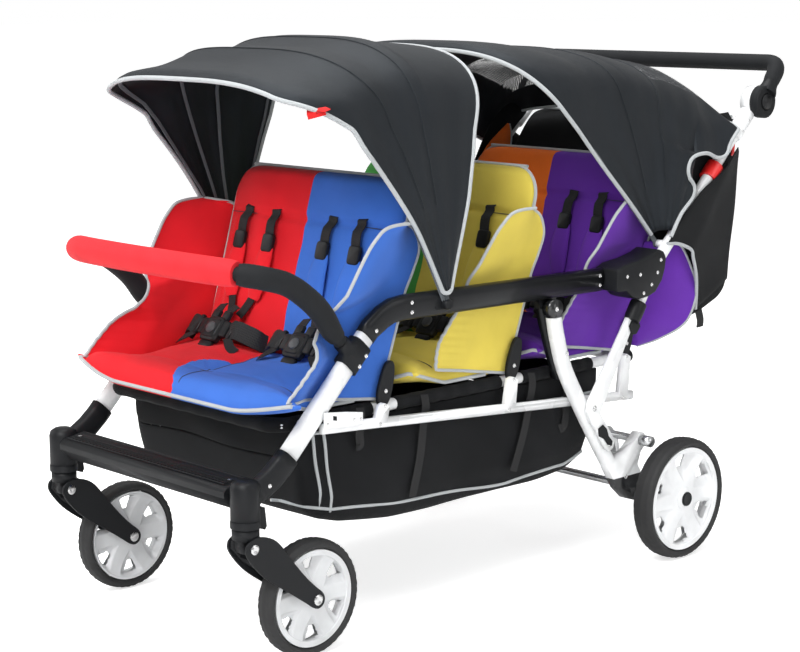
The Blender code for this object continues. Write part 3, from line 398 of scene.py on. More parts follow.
def piece(name, verts, faces, mat, body, uv=None, attrs=None, merge=0.0, smooth=40.0):
    """Mesh piece at the origin, its points moved from the photo's frame to the row frame."""
    verts = np.asarray(verts, float) + np.array([0.0, Y0, 0.0])
    mesh = bpy.data.meshes.new(name)
    mesh.from_pydata(verts.tolist(), [], [tuple(int(k) for k in f) for f in faces])
    if uv is not None:
        layer = mesh.uv_layers.new(name="UVMap")
        idx = np.zeros(len(mesh.loops), int)
        mesh.loops.foreach_get("vertex_index", idx)
        layer.data.foreach_set("uv", np.asarray(uv, float)[idx].ravel())
    for key, values in (attrs or {}).items():
        set_attribute(mesh, key, values)
    remeshed(mesh, merge)
    shaded(mesh, smooth)
    return placed(name, mesh, mat, body)


def grid_piece(name, P, mat, body, wrap_m=False, wrap_n=False, attrs=None, **kw):
    """Piece from a grid of points (m, n, 3), with a map in metres along both ways."""
    m, n = P.shape[:2]
    uv = np.stack(np.meshgrid(arc(P, 0), arc(P, 1), indexing="ij"), -1).reshape(-1, 2)
    return piece(name, P.reshape(-1, 3), quads(m, n, wrap_m, wrap_n), mat, body, uv, attrs, **kw)


def near_side(P):
    """1 on the near half of a grid, which has its row's second colour, and 0 on the far."""
    return (P[..., 0] > 0).astype(float)


def unit(v):
    """Vectors scaled to length one."""
    v = np.asarray(v, float)
    return v / np.maximum(np.linalg.norm(v, axis=-1, keepdims=True), 1e-12)


def bell(x, c, w):
    """Smooth bump of height one at c: e to the minus square of (x - c) / w."""
    return np.exp(-((x - c) / w) ** 2)


def eased(k):
    """k from 0 to 1 with a gentle start and end: 3 k squared less 2 k cubed."""
    return k * k * (3 - 2 * k)


def mirrored(points, s):
    """Points as given for s = 1, and their mirror image for s = -1."""
    return np.asarray(points, float) * np.array([s, 1, 1])


def both_halves(half):
    """A line from one side to the middle plane, and on through its mirror image."""
    return np.concatenate([half, mirrored(half[-2::-1], -1)])


def resample(path, count, closed=False):
    """Path with evenly spaced points."""
    path = np.asarray(path, float)
    if closed:
        path = np.concatenate([path, path[:1]])
    d = np.concatenate([[0], np.cumsum(np.linalg.norm(np.diff(path, axis=0), axis=1))])
    t = np.linspace(0, d[-1], count + 1)[:-1] if closed else np.linspace(0, d[-1], count)
    return np.stack([np.interp(t, d, path[:, k]) for k in range(path.shape[1])], 1)


def curve(points, per=8, closed=False):
    """Smooth curve through points (each span is a cubic of its four neighbours)."""
    p = np.asarray(points, float)
    if closed:
        p = np.concatenate([p[-1:], p, p[:2]])
    else:
        p = np.concatenate([2 * p[:1] - p[1:2], p, 2 * p[-1:] - p[-2:-1]])
    t = np.linspace(0, 1, per, endpoint=False)[None, :, None]
    a, b, c, d = [p[i:len(p) - 3 + i][:, None, :] for i in range(4)]
    q = 0.5 * (2 * b + (c - a) * t + (2 * a - 5 * b + 4 * c - d) * t ** 2
               + (3 * b - a - 3 * c + d) * t ** 3)
    q = q.reshape(-1, p.shape[1])
    return q if closed else np.concatenate([q, p[-2:-1]])


def carried(path, closed=False, ref=(0.31, 0.2, 0.93)):
    """Two vectors square to a path at each point, carried along it without twist."""
    path = np.asarray(path, float)
    if closed:
        t = unit(np.roll(path, -1, 0) - np.roll(path, 1, 0))
    else:
        t = unit(np.gradient(path, axis=0))
    side = np.zeros_like(t)
    s = np.asarray(ref, float)
    for i in range(len(t)):
        s = unit(s - t[i] * np.dot(s, t[i]))
        side[i] = s
    return side, np.cross(t, side)


def shut(path, P):
    """Grid P with its first and last rings drawn to the path's end points."""
    n = P.shape[1]
    return np.concatenate([np.repeat(path[:1, None], n, 1), P, np.repeat(path[-1:, None], n, 1)])


def power_ring(count, cos_power, sin_power, offset=0.5):
    """Superellipse: |cos| and |sin| of count even angles, raised to powers, signs kept."""
    ang = (np.arange(count) + offset) * 2 * PI / count
    c = np.sign(np.cos(ang)) * np.abs(np.cos(ang)) ** cos_power
    s = np.sign(np.sin(ang)) * np.abs(np.sin(ang)) ** sin_power
    return c, s


def pipe_grid(path, r, seg=10, closed=False):
    """Tube round a path: rings of radius r, closed by a point at each open end."""
    path = np.asarray(path, float)
    a, b = carried(path, closed)
    ang = np.arange(seg) * 2 * PI / seg
    ring = np.cos(ang)[None, :, None] * a[:, None] + np.sin(ang)[None, :, None] * b[:, None]
    r = np.broadcast_to(np.asarray(r, float), (len(path),))[:, None, None]
    P = path[:, None] + ring * r
    return P if closed else shut(path, P)


def pipe(name, path, r, mat, body, seg=10, closed=False, **kw):
    """Round bar or piping along a path."""
    return grid_piece(name, pipe_grid(path, r, seg, closed), mat, body, closed, True, merge=DOUBLES, **kw)


def joined(name, grids, across, mat, body, smooth=40.0):
    """Several closed tubes in one piece; across gives the map's second number of a grid."""
    verts, faces, uvs, start = [], [], [], 0
    for P in grids:
        m, n = P.shape[:2]
        verts.append(P.reshape(-1, 3))
        uvs.append(np.stack(np.meshgrid(arc(P, 0), across(P), indexing="ij"), -1).reshape(-1, 2))
        faces.append(quads(m, n, False, True, start))
        start += m * n
    return piece(name, np.concatenate(verts), np.concatenate(faces), mat, body,
                 np.concatenate(uvs), merge=DOUBLES, smooth=smooth)


def pipes(name, paths, r, mat, body, seg=8):
    """Several open tubes of one radius in one piece."""
    return joined(name, [pipe_grid(path, r, seg) for path in paths], lambda P: arc(P, 1), mat, body)


def many(name, grids, mat, body, smooth=40.0):
    """Several closed forms in one piece, mapped in even steps across."""
    return joined(name, grids, lambda P: np.arange(P.shape[1]) * MAP_STEP, mat, body, smooth)


def along_path(path, normal):
    """Side and up vectors of a path whose face looks along normal."""
    t = unit(np.gradient(path, axis=0))
    side = unit(np.cross(t, np.broadcast_to(np.asarray(normal, float), path.shape)))
    return side, np.cross(side, t)


def strap_grid(path, normal, width, thick=0.0016):
    """Flat webbing: a rounded rectangle carried along the path, its face along normal."""
    path = np.asarray(path, float)
    side, up = along_path(path, normal)
    w, h = width / 2, thick / 2
    prof = np.array([(-w, -h * 0.6), (-w * 0.97, -h), (w * 0.97, -h), (w, -h * 0.6), (w, h * 0.6),
                     (w * 0.97, h), (0, h), (-w * 0.97, h), (-w, h * 0.6)])
    return shut(path, path[:, None] + prof[None, :, :1] * side[:, None] + prof[None, :, 1:] * up[:, None])


def pad_strip(path, normal, width, thick, seg=18):
    """Soft strip: an oval section carried along the path, that tapers at its ends."""
    path = np.asarray(path, float)
    side, up = along_path(path, normal)
    k = np.sin(np.linspace(0.12, PI - 0.12, len(path))) ** 0.22
    c, s = power_ring(seg, 0.6, 1.0, 0.0)
    P = (path[:, None] + (c[None] * k[:, None])[..., None] * side[:, None] * width / 2
         + (s[None] * k[:, None] ** 2)[..., None] * up[:, None] * thick / 2)
    return shut(path, P)


def block_grid(centre, up, face, w, l, t, seg=20, power=0.35):
    """Rounded block: a superellipse outline, drawn in at its two faces."""
    up = unit(up)
    face = unit(face)
    side = np.cross(up, face)
    c, s = power_ring(seg, power, power)
    rings = []
    for h, k in ((-0.5, 0.0), (-0.5, 0.90), (-0.36, 1.0), (0.25, 1.0), (0.44, 0.92), (0.5, 0.78),
                 (0.5, 0.0)):
        rings.append(np.asarray(centre) + face * h * t + np.outer(c * w / 2 * k, side)
                     + np.outer(s * l / 2 * k, up))
    return np.array(rings)


def turned(centre, axis, profile, seg=20):
    """Turned form: profile of (distance along axis, radius) spun round the axis."""
    axis = unit(axis)
    ref = np.array([0, 0, 1.0]) if abs(axis[2]) < 0.9 else np.array([0, 1.0, 0])
    a = unit(np.cross(axis, ref))
    b = np.cross(axis, a)
    ang = np.arange(seg) * 2 * PI / seg
    ring = np.cos(ang)[:, None] * a + np.sin(ang)[:, None] * b
    prof = np.asarray(profile, float)
    return np.asarray(centre) + prof[:, :1, None] * axis[None, None] + prof[:, 1:, None] * ring[None]


def rivets(name, spots, body, r=0.0042, h=0.0022):
    """Domed rivet heads with a dimple, at (centre, outward axis)."""
    prof = [(-0.001, 0.0), (-0.001, r), (h * 0.35, r), (h * 0.8, r * 0.78), (h, r * 0.45),
            (h * 0.7, r * 0.36), (h * 0.6, 0.0)]
    return many(name, [turned(c, a, prof, 14) for c, a in spots], "rivet", body)


def outline_plate(outline, x0, x1, bevel=0.0012):
    """Plate with an outline in YZ between two X values; its edge is rounded by bevel."""
    c = np.asarray(outline, float)
    d = unit(np.roll(c, -1, 0) - np.roll(c, 1, 0))
    inward = np.stack([-d[:, 1], d[:, 0]], 1)
    area = 0.5 * np.sum(c[:, 0] * np.roll(c[:, 1], -1) - np.roll(c[:, 0], -1) * c[:, 1])
    inward = inward * np.sign(area)
    sgn = 1.0 if x1 > x0 else -1.0
    rings = []
    for x, off in ((x0, bevel), (x0 + sgn * bevel, 0.0), (x1 - sgn * bevel, 0.0), (x1, bevel)):
        q = c + inward * off
        rings.append(np.column_stack([np.full(len(q), x), q]))
    return np.array(rings)


def plate_piece(name, outline, x0, x1, mat, body, bevel=0.0012):
    """Bevelled plate as a piece, with flat ends."""
    P = outline_plate(outline, x0, x1, bevel)
    m, n = P.shape[:2]
    faces = [tuple(f) for f in quads(m, n, False, True)]
    faces.append(tuple(range(n)))
    faces.append(tuple(range((m - 1) * n, m * n)))
    uv = P.reshape(-1, 3)[:, 1:]
    return piece(name, P.reshape(-1, 3), faces, mat, body, uv, smooth=30.0)


def solid(obj, thick, offset=0.0):
    """Give a sheet its wall, half of it on each side."""
    mod = obj.modifiers.new("wall", "SOLIDIFY")
    mod.thickness = thick
    mod.offset = offset


def smoothed(obj, levels=1):
    """Subdivision with equal levels."""
    mod = obj.modifiers.new("smooth", "SUBSURF")
    mod.levels = levels
    mod.render_levels = levels


def fill_ends(obj):
    """Close the open ends of a grid that is wrapped round."""
    bm = bmesh.new()
    bm.from_mesh(obj.data)
    bmesh.ops.holes_fill(bm, edges=[e for e in bm.edges if e.is_boundary], sides=0)
    bmesh.ops.triangulate(bm, faces=[f for f in bm.faces if len(f.verts) > 4])
    bmesh.ops.recalc_face_normals(bm, faces=bm.faces)
    bm.to_mesh(obj.data)
    bm.free()
    shaded(obj.data, 0)


def points_of(mesh):
    """Points of a mesh as an array."""
    co = np.zeros(len(mesh.vertices) * 3)
    mesh.vertices.foreach_get("co", co)
    return co.reshape(-1, 3)


def puff(obj, pinned, pressure, cap, frames=14):
    """Inflate a closed pad with Blender's cloth under pressure, its pinned points held,
    and let no point move further than cap."""
    start = points_of(obj.data)
    group = obj.vertex_groups.new(name="held")
    group.add([int(i) for i in np.nonzero(pinned(start))[0]], 1.0, "REPLACE")
    mod = obj.modifiers.new("cloth", "CLOTH")
    s = mod.settings
    s.quality = 5
    s.mass = 0.3
    s.tension_stiffness = 18
    s.compression_stiffness = 18
    s.bending_stiffness = 0.6
    s.use_pressure = True
    s.uniform_pressure_force = pressure
    s.vertex_group_mass = "held"
    s.effector_weights.gravity = 0.0
    mod.collision_settings.use_self_collision = False
    mod.collision_settings.use_collision = False
    mod.point_cache.frame_start = 1
    mod.point_cache.frame_end = frames
    scene = bpy.context.scene
    for f in range(1, frames + 1):
        scene.frame_set(f)
    dg = bpy.context.evaluated_depsgraph_get()
    move = points_of(obj.evaluated_get(dg).to_mesh()) - start
    obj.evaluated_get(dg).to_mesh_clear()
    obj.modifiers.remove(mod)
    obj.vertex_groups.clear()
    size = np.linalg.norm(move, axis=1, keepdims=True)
    move = move * np.minimum(1.0, cap / np.maximum(size, 1e-9))
    obj.data.vertices.foreach_set("co", (start + move).ravel())
    obj.data.update()
    scene.frame_set(1)


# Rigid nodes of the frame
BODY_OF = {node: body for body, names in frame["record"]["behaviour"]["bodies"].items() for node in names}
FINISH = {"side_beam": "beam", "front_leg": "white", "leg_knuckle": "mould", "caster_head": "mould",
          "rear_knuckle": "mould", "handle_tube": "white", "footrest_bar": "mould", "seat_rail": "white",
          "link_rail": "white", "rear_leg": "leg_white", "brace": "white",
          "fold_slider": "trigger", "hub_button": "buckle", "caster_yoke": "mould", "caster_fork": "mould",
          "swivel_lock": "mould", "rear_axle": "steel", "brake_bar": "steel", "bumper_bar": "foam",
          "handle_bar": "foam", "canopy_bow": "binding", "rear_canopy_bow": "binding"}


def smooth_nodes():
    """A merged, smooth-shaded copy of each rigid node, which stands for it."""
    for node, body in BODY_OF.items():
        key = [k for k in FINISH if node.startswith(k)]
        if not key:
            continue
        mesh = bpy.data.objects[node].data.copy()
        remeshed(mesh, 1e-5, False)
        shaded(mesh, 38)
        mesh.materials.clear()
        obj = placed("fine_" + node, mesh, FINISH[max(key, key=len)], body)
        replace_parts(obj, node)


smooth_nodes()


# Seats
SIDE = (("near", 1.0), ("far", -1.0))
ROWS = (1, 2, 3)
ROW_Y = (-0.384, -0.041, 0.302)
PIVOT_Z = 0.450
PLACE_X = 0.1225
BACK = math.radians(74.0)
ALONG = np.array([0.0, math.cos(BACK), math.sin(BACK)])
FRONT = np.array([0.0, -math.sin(BACK), math.cos(BACK)])
BACK_LOW = 0.026
BACK_HIGH = 0.389
BACK_CORNER = 0.066
BACK_HALF = 0.2455
BACK_SKIN = 0.0065
HEAD_SEAM = 0.288
# Radius of the dark line of painted shade along the seams, and how far it stands out of the cushion
SEAM_SHADE_RADIUS = 0.0008
SEAM_SHADE_LIFT = 0.0006


def row_shift(row):
    """How far a row's seat lies behind the first row's."""
    return ROW_Y[row - 1] - ROW_Y[0]


def on_back(row, x, a, h):
    """Point on a back: x across, a up along it, h out of its front."""
    x, a, h = np.broadcast_arrays(x, a, h)
    p = np.array([0.0, ROW_Y[row - 1], PIVOT_Z])
    out = p + a[..., None] * ALONG + h[..., None] * FRONT
    out[..., 0] = x
    return out


def back_height(x, a):
    """Front face of a back: crown over each half, a centre seam, a head seam,
    two long channels beside each child's place and soft pull lines."""
    half = np.abs(x) - PLACE_X
    crown = 1.0 - 0.32 * (half / PLACE_X) ** 2
    seam = 1 - 0.42 * bell(x, 0, 0.008) - 0.20 * bell(a, HEAD_SEAM, 0.006) * (np.abs(half) < 0.11)
    channel = 1 - 0.10 * bell(np.abs(half), 0.078, 0.007) * (a < 0.285)
    pull = 0.0014 * np.sin(70 * a + 9 * x) * bell(np.abs(x), 0.02, 0.05) + 0.0012 * np.sin(41 * x + 23 * a)
    pull = pull + 0.0016 * np.sin(95 * (np.abs(half) - 0.4 * a)) * bell(a, 0.05, 0.07)
    pull = pull + 0.0012 * np.sin(150 * half + 30 * a) * bell(a, 0.262, 0.025)
    head = 0.004 * bell(a, 0.335, 0.04)
    lumbar = 0.004 * bell(a, 0.10, 0.07)
    return 0.0445 * crown * seam * channel + pull + head + lumbar - 0.002


def back_cushion(row):
    """Back cushion: a superellipse section whose width follows the outline with round top
    corners; the front is back_height and the rear is flat."""
    a = np.linspace(BACK_LOW, BACK_HIGH, 58)
    top = np.clip((a - (BACK_HIGH - BACK_CORNER)) / BACK_CORNER, 0, 1)
    bottom = np.clip((0.046 - a) / 0.020, 0, 1)
    half = BACK_HALF - BACK_CORNER * (1 - np.sqrt(1 - top ** 2)) - 0.012 * bottom ** 2
    half = half - 0.0035 * bell(a, 0.20, 0.10)
    ends = np.sqrt(np.clip(1 - np.clip((a - 0.366) / 0.023, 0, 1) ** 2, 0, 1))
    ends *= np.sqrt(np.clip(1 - bottom ** 2, 0, 1))
    c, s = power_ring(96, 0.55, 0.42)
    x = half[:, None] * c[None]
    A = np.broadcast_to(a[:, None], x.shape)
    h = np.where(s[None] > 0, BACK_SKIN + (back_height(x, A) - BACK_SKIN) * s[None] * ends[:, None],
                 BACK_SKIN + 0.0020 * s[None] * ends[:, None])
    P = on_back(row, x, A, np.maximum(h, 0.0046))
    obj = grid_piece("back_cushion_%d" % row, P, "row_%d" % row, "back_%d" % row, False, True,
                     {"near": near_side(P)}, smooth=0)
    fill_ends(obj)
    smoothed(obj)
    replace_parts(obj, "seat_back_%d" % row)


def back_trim(row):
    """Piping round a back's outline, and a dark line along its head seam and middle seam, painted as the
    seams' shade.
    """
    body = "back_%d" % row
    shoulder = BACK_HIGH - BACK_CORNER
    turn = np.linspace(0.15, PI / 2, 9)
    up = np.concatenate([np.linspace(0.05, shoulder, 14), shoulder + BACK_CORNER * np.sin(turn)])
    out = np.concatenate([np.full(14, 0.2465), 0.1805 + BACK_CORNER * np.cos(turn)])
    edge = on_back(row, np.concatenate([out, -out[::-1]]), np.concatenate([up, up[::-1]]), 0.012)
    pipe("back_piping_%d" % row, curve(edge, 3), 0.0034, "piping", body, 8)
    lines = [(np.linspace(0.012, 0.232, 50) * q, np.full(50, HEAD_SEAM)) for q in (-1, 1)]
    lines.append((np.zeros(60), np.linspace(0.045, 0.380, 60)))
    seams = [on_back(row, x, a, back_height(x, a) + SEAM_SHADE_LIFT) for x, a in lines]
    pipes("back_seams_%d" % row, seams, SEAM_SHADE_RADIUS, "seam_shade", body, 6)


BRACKET = [(0.050, -0.010), (0.056, 0.0), (0.050, 0.010), (0.030, 0.0150), (0.004, 0.0170),
           (-0.016, 0.0150), (-0.028, 0.008), (-0.031, 0.0), (-0.028, -0.008), (-0.016, -0.0150),
           (0.004, -0.0170), (0.030, -0.0150)]
PANEL_RINGS = ((0.0040, 0.0), (0.0040, 0.97), (0.0034, 0.993), (0.0010, 1.0), (-0.0034, 0.993),
               (-0.0052, 0.95), (-0.0060, 0.80), (-0.0064, 0.45), (-0.0066, 0.0))


def back_panel(row):
    """Cloth-covered board behind a back, its pivot rod and rounded side brackets."""
    body = "back_%d" % row
    c, s = power_ring(72, 0.22, 0.30)
    rings = [on_back(row, 0.2415 * c * k, 0.190 + 0.188 * s * k, np.full(72, h)) for h, k in PANEL_RINGS]
    board = many("back_panel_%d" % row, [np.array(rings)], "bag", body, smooth=60)
    rod = turned((-0.2600, ROW_Y[row - 1], PIVOT_Z), (1, 0, 0),
                 [(0, 0), (0, 0.008), (0.52, 0.008), (0.52, 0)], 20)
    many("back_rod_%d" % row, [rod], "steel", body)
    pivot = np.array([ROW_Y[row - 1], PIVOT_Z])
    outline = curve([pivot + a * ALONG[1:] + h * FRONT[1:] for a, h in BRACKET], 3, True)
    plates = []
    for _, side in SIDE:
        G = outline_plate(outline, 0.2588 * side, 0.2678 * side, 0.0016)
        middle = G.mean(1, keepdims=True)
        n = G.shape[1]
        plates.append(np.concatenate([middle[:1].repeat(n, 1), G, middle[-1:].repeat(n, 1)]))
    many("back_brackets_%d" % row, plates, "mould", body, smooth=30)
    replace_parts(board, "back_board_%d" % row)


def seat_backs():
    """The three backs, each with its cushion, trim, panel and brackets."""
    for row in ROWS:
        back_cushion(row)
        back_trim(row)
        back_panel(row)


BASE_BACK = -0.428
BASE_FRONT = -0.668
BASE_HALF = 0.2490
BASE_LOW = 0.4330
BASE_TOP = 0.4440


def base_outline(x):
    """Front edge of a seat cushion: bowed in the middle, drawn back at the corners."""
    k = np.clip((np.abs(x) - 0.150) / 0.100, 0, 1)
    return BASE_FRONT + 0.026 * k ** 2.6


def flare(x, y, row):
    """How far the front lip stands out sideways: nothing behind the legs, then eased."""
    wide = 0.086 if row == 1 else 0.012
    k = eased(np.clip((-0.592 - y) / 0.055, 0, 1))
    return np.sign(x) * wide * k * np.clip(np.abs(x) / 0.25, 0, 1) ** 3


def lift(x, y):
    """The lip's corners curl up into the wings."""
    k = np.clip((-0.560 - y) / 0.09, 0, 1) * np.clip((np.abs(x) - 0.15) / 0.10, 0, 1) ** 1.6
    return 0.030 * k


def seat_flattens(obj):
    """Gives a part of the seat its own copy of its mesh."""
    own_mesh(obj)


def seat_cushion(row):
    """Seat cushion: the top face is a crown with a raised front roll and a middle seam, and
    its second colour starts at a line that bows aside on the first row. Returns the top."""
    shift = row_shift(row)
    u = np.sin(np.linspace(-PI / 2, PI / 2, 100)) * 0.35 + np.linspace(-1, 1, 100) * 0.65
    x = BASE_HALF * u
    v = np.linspace(0, 1, 64)
    y = BASE_BACK + v[:, None] * (base_outline(x)[None] - BASE_BACK)
    X = np.broadcast_to(x[None], y.shape)
    edge = (1 - np.abs(u) ** 10)[None] ** 0.5
    ends = np.clip((1 - v) / 0.09, 0, 1)[:, None] ** 0.5 * np.clip(v / 0.05, 0, 1)[:, None] ** 0.5
    half = (np.abs(X) - PLACE_X) / PLACE_X
    crown = 1 - 0.08 * half ** 2 - 0.12 * bell(X, 0, 0.012) * (v[:, None] < 0.62)
    roll = (0.0045 * bell(v, 0.84, 0.11) - 0.0026 * bell(v, 0.66, 0.024))[:, None]
    wrinkle = 0.0012 * np.sin(45 * X + 30 * y) * bell(v, 0.35, 0.3)[:, None]
    wrinkle = wrinkle + 0.0014 * np.sin(90 * y - 26 * X) * bell(v, 0.22, 0.16)[:, None]
    h = (0.044 * crown + roll + wrinkle) * edge * ends
    slope = -0.018 * v[:, None] ** 2.2 + 0.010 * (1 - v[:, None]) ** 2
    up = lift(X, y)
    wide = X + flare(X, y, row)
    top = np.stack([wide, y + shift, BASE_TOP + np.maximum(h + slope, 0.0012) + up], -1)
    low = np.stack([wide, y + shift, BASE_LOW + 0.0055 * (1 - edge * ends) + up], -1)
    P = np.concatenate([top, low[:, ::-1]], 1)
    split = -0.058 * np.sin(np.clip((v[:, None] - 0.40) / 0.60, 0, 1) ** 0.75 * PI)
    near = (X > (split if row == 1 else 0 * split)).astype(float)
    near = np.concatenate([near, near[:, ::-1]], 1)
    obj = grid_piece("seat_cushion_%d" % row, P, "row_%d" % row, "chassis", False, True,
                     {"near": near}, smooth=0)
    fill_ends(obj)

    def held(co):
        """The underside, and the points along the middle."""
        return (co[:, 2] < 0.4475 + lift(co[:, 0], co[:, 1] - Y0 - shift)) | (np.abs(co[:, 0]) < 0.005)
    puff(obj, held, 3.0, 0.005)
    smoothed(obj)
    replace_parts(obj, "seat_base_%d" % row)
    seat_flattens(obj)
    return top


def seat_trim(row, top):
    """Piping round a seat's front and sides, and a dark line over its front roll and middle, painted as the
    seams' shade.
    """
    shift = row_shift(row)
    x = np.linspace(BASE_HALF + 0.0005, -BASE_HALF - 0.0005, 90)
    y = base_outline(x)
    front = np.column_stack([x + flare(x, y, row), y + shift - 0.0022, BASE_TOP + lift(x, y)])
    y = np.linspace(BASE_BACK - 0.02, -0.628, 16)
    side = np.column_stack([0.2500 + flare(BASE_HALF, y, row), y + shift, 0.4390 + lift(BASE_HALF, y)])
    line = np.concatenate([side, front[2:-2], mirrored(side[::-1], -1)])
    seat_flattens(pipe("seat_piping_%d" % row, resample(line, 190), 0.0036, "piping", "chassis", 8))
    across = top[int(len(top) * 0.66), 4:-4] + np.array([0, 0, 0.0003])
    middle = top[6:-4, top.shape[1] // 2] + np.array([0, 0, 0.0004])
    seams = [resample(line, 80) for line in (across, middle)]
    seat_flattens(pipes("seat_seam_shade_%d" % row, seams, SEAM_SHADE_RADIUS, "seam_shade", "chassis", 6))


def seat_bases():
    """The three seat cushions with their trim."""
    for row in ROWS:
        seat_trim(row, seat_cushion(row))


WING_EDGE = [(-0.352, 0.7565), (-0.392, 0.756), (-0.420, 0.750), (-0.438, 0.735), (-0.452, 0.720),
             (-0.4655, 0.700), (-0.478, 0.680), (-0.490, 0.660), (-0.5025, 0.640), (-0.5135, 0.620),
             (-0.524, 0.600), (-0.5335, 0.580), (-0.552, 0.560), (-0.5715, 0.540), (-0.5950, 0.520),
             (-0.617, 0.500), (-0.636, 0.482), (-0.648, 0.470)]
WING_REAR = [(-0.322, 0.750), (-0.300, 0.738), (-0.289, 0.718), (-0.287, 0.694), (-0.303, 0.658),
             (-0.322, 0.623), (-0.335, 0.585), (-0.348, 0.548), (-0.361, 0.511), (-0.374, 0.474),
             (-0.389, 0.434)]
WING_X = 0.2522
WING_STOP = -0.594
# Height, where the outward ease begins (as a share of the depth) and X of the front edge
FIRST_ROW_BEGIN = ((0.44, 0.50, 0.53, 0.545, 0.56, 0.58, 0.60, 0.612, 0.628, 0.66, 0.75),
                   (0.62, 0.62, 0.66, 0.76, 0.86, 0.97, 0.97, 0.62, 0.36, 0.15, 0.05))
FIRST_ROW_EDGE = ((0.44, 0.50, 0.53, 0.545, 0.56, 0.58, 0.60, 0.615, 0.64, 0.70, 0.75),
                  (0.298, 0.302, 0.300, 0.288, 0.262, 0.2535, 0.2545, 0.276, 0.294, 0.298, 0.302))
OTHER_ROW_BEGIN = ((0.44, 0.630, 0.66, 0.75), (0.50, 0.50, 0.15, 0.05))
OTHER_ROW_EDGE = ((0.44, 0.630, 0.66, 0.75), (0.262, 0.263, 0.275, 0.290))


def wing_grid(row, s):
    """A sheet ruled between the back's side and the curved front edge. It stands outwards
    by an eased amount near its front edge, except where the leg, the beam or the bumper's
    arm passes, and gathers fan out of its lower front."""
    front = resample(curve(WING_EDGE, 6), 64)
    rear = resample(curve(WING_REAR, 6), 64)
    if row > 1:
        front[:, 0] = WING_STOP + 0.014 * np.logaddexp(0, (front[:, 0] - WING_STOP) / 0.014)
    t = np.linspace(0, 1, 34)[None, :]
    v = np.linspace(0, 1, 64)[:, None]
    yz = rear[:, None] * (1 - t[..., None]) + front[:, None] * t[..., None]
    y, z = yz[..., 0], yz[..., 1]
    begin = np.interp(z, *(FIRST_ROW_BEGIN if row == 1 else OTHER_ROW_BEGIN))
    edge = np.interp(z, *(FIRST_ROW_EDGE if row == 1 else OTHER_ROW_EDGE))
    k = eased(np.clip((t - begin) / (1 - begin), 0, 1))
    out = WING_X + (edge - WING_X) * k + 0.0022 * np.sin(PI * t) * np.sin(PI * v)
    low = np.clip((v - 0.5) / 0.2, 0, 1) * (1 - k)
    gather = 0.0016 * np.sin(44 * v * PI + 2 * t) * np.clip((t - 0.55) / 0.45, 0, 1)
    gather = gather * np.clip((v - 0.55) / 0.2, 0, 1)
    fold = 0.0012 * np.sin(34 * z + 30 * y) + 0.0012 * low * np.sin(60 * z - 40 * y)
    return np.stack([(out + gather + fold * np.sin(PI * t)) * s, y + row_shift(row), z], -1)


def wings():
    """Six side wings with piping all round."""
    for row in ROWS:
        for tag, s in SIDE:
            P = wing_grid(row, s)
            obj = grid_piece("wing_%d_%s" % (row, tag), P, "row_%d" % row, "chassis",
                             attrs={"near": near_side(P)}, smooth=0)
            solid(obj, 0.0024)
            smoothed(obj)
            rim = np.concatenate([P[:, -1], P[-1, ::-1][1:], P[::-1, 0][1:]]) + np.array([0.0004 * s, 0, 0])
            pipe("wing_piping_%d_%s" % (row, tag), resample(rim, 190, True), 0.0032, "piping", "chassis",
                 8, True)


# Name, front edge, rear edge, cloth, flat width and bulge of each side panel of the last row
GUSSETS = (
    ("gusset_low",
     [(0.2535, 0.304, 0.446), (0.2535, 0.318, 0.500), (0.2540, 0.338, 0.560), (0.2550, 0.352, 0.610),
      (0.2560, 0.366, 0.655)],
     [(0.2560, 0.350, 0.437), (0.2760, 0.400, 0.450), (0.3060, 0.444, 0.480), (0.3085, 0.474, 0.526),
      (0.3085, 0.474, 0.566), (0.3080, 0.456, 0.600), (0.3060, 0.430, 0.640), (0.3000, 0.400, 0.664)],
     "row_3", 0.16, 0.010),
    ("gusset_tie",
     [(0.2550, 0.380, 0.700), (0.2550, 0.390, 0.750), (0.2560, 0.402, 0.786), (0.2680, 0.450, 0.826),
      (0.2840, 0.528, 0.866)],
     [(0.2560, 0.402, 0.690), (0.2620, 0.450, 0.722), (0.2700, 0.500, 0.775), (0.2780, 0.530, 0.810),
      (0.2840, 0.540, 0.840), (0.2850, 0.535, 0.864)],
     "row_3", 0.10, 0.0),
    ("rear_lining",
     [(0.2940, 0.420, 0.770), (0.2950, 0.470, 0.850), (0.2950, 0.530, 0.905), (0.2950, 0.590, 0.915)],
     [(0.2940, 0.450, 0.735), (0.2950, 0.500, 0.790), (0.2950, 0.560, 0.850), (0.2950, 0.610, 0.890)],
     "bag", 0.08, 0.0))


def ruled(front, rear, s, m, n):
    """Straight lines drawn between two curves, m of them, with n points each."""
    a = resample(curve(mirrored(front, s), 6), m)[:, None]
    b = resample(curve(mirrored(rear, s), 6), m)[:, None]
    t = np.linspace(0, 1, n)[None, :, None]
    return a * (1 - t) + b * t, t[..., 0]


def gussets():
    """Side panels of the last row: sheets ruled between the back's side and a curved rear
    edge, bulged by a sine across and rippled, and a tie that rises to the handle tube."""
    for tag, s in SIDE:
        for name, front, rear, mat, width, bulge in GUSSETS:
            P, t = ruled(front, rear, s, 44, 26)
            P[..., 0] += s * bulge * np.sin(PI * t) * (P[..., 1] > 0.33)
            P[..., 0] += s * 0.0016 * np.sin(46 * P[..., 1] - 30 * P[..., 2]) * np.sin(PI * t)
            obj = grid_piece("%s_%s" % (name, tag), P, mat, "chassis", attrs={"near": near_side(P)}, smooth=0)
            solid(obj, 0.0020)
            smoothed(obj)
            if mat == "row_3":
                pipe("%s_piping_%s" % (name, tag), resample(P[:, -1], 90), 0.0030, "piping", "chassis", 8)


# Harness
BUCKLE_SPOT = (-0.4700, 0.5240)
BUCKLE_UP = (0.0, -0.78, 0.63)


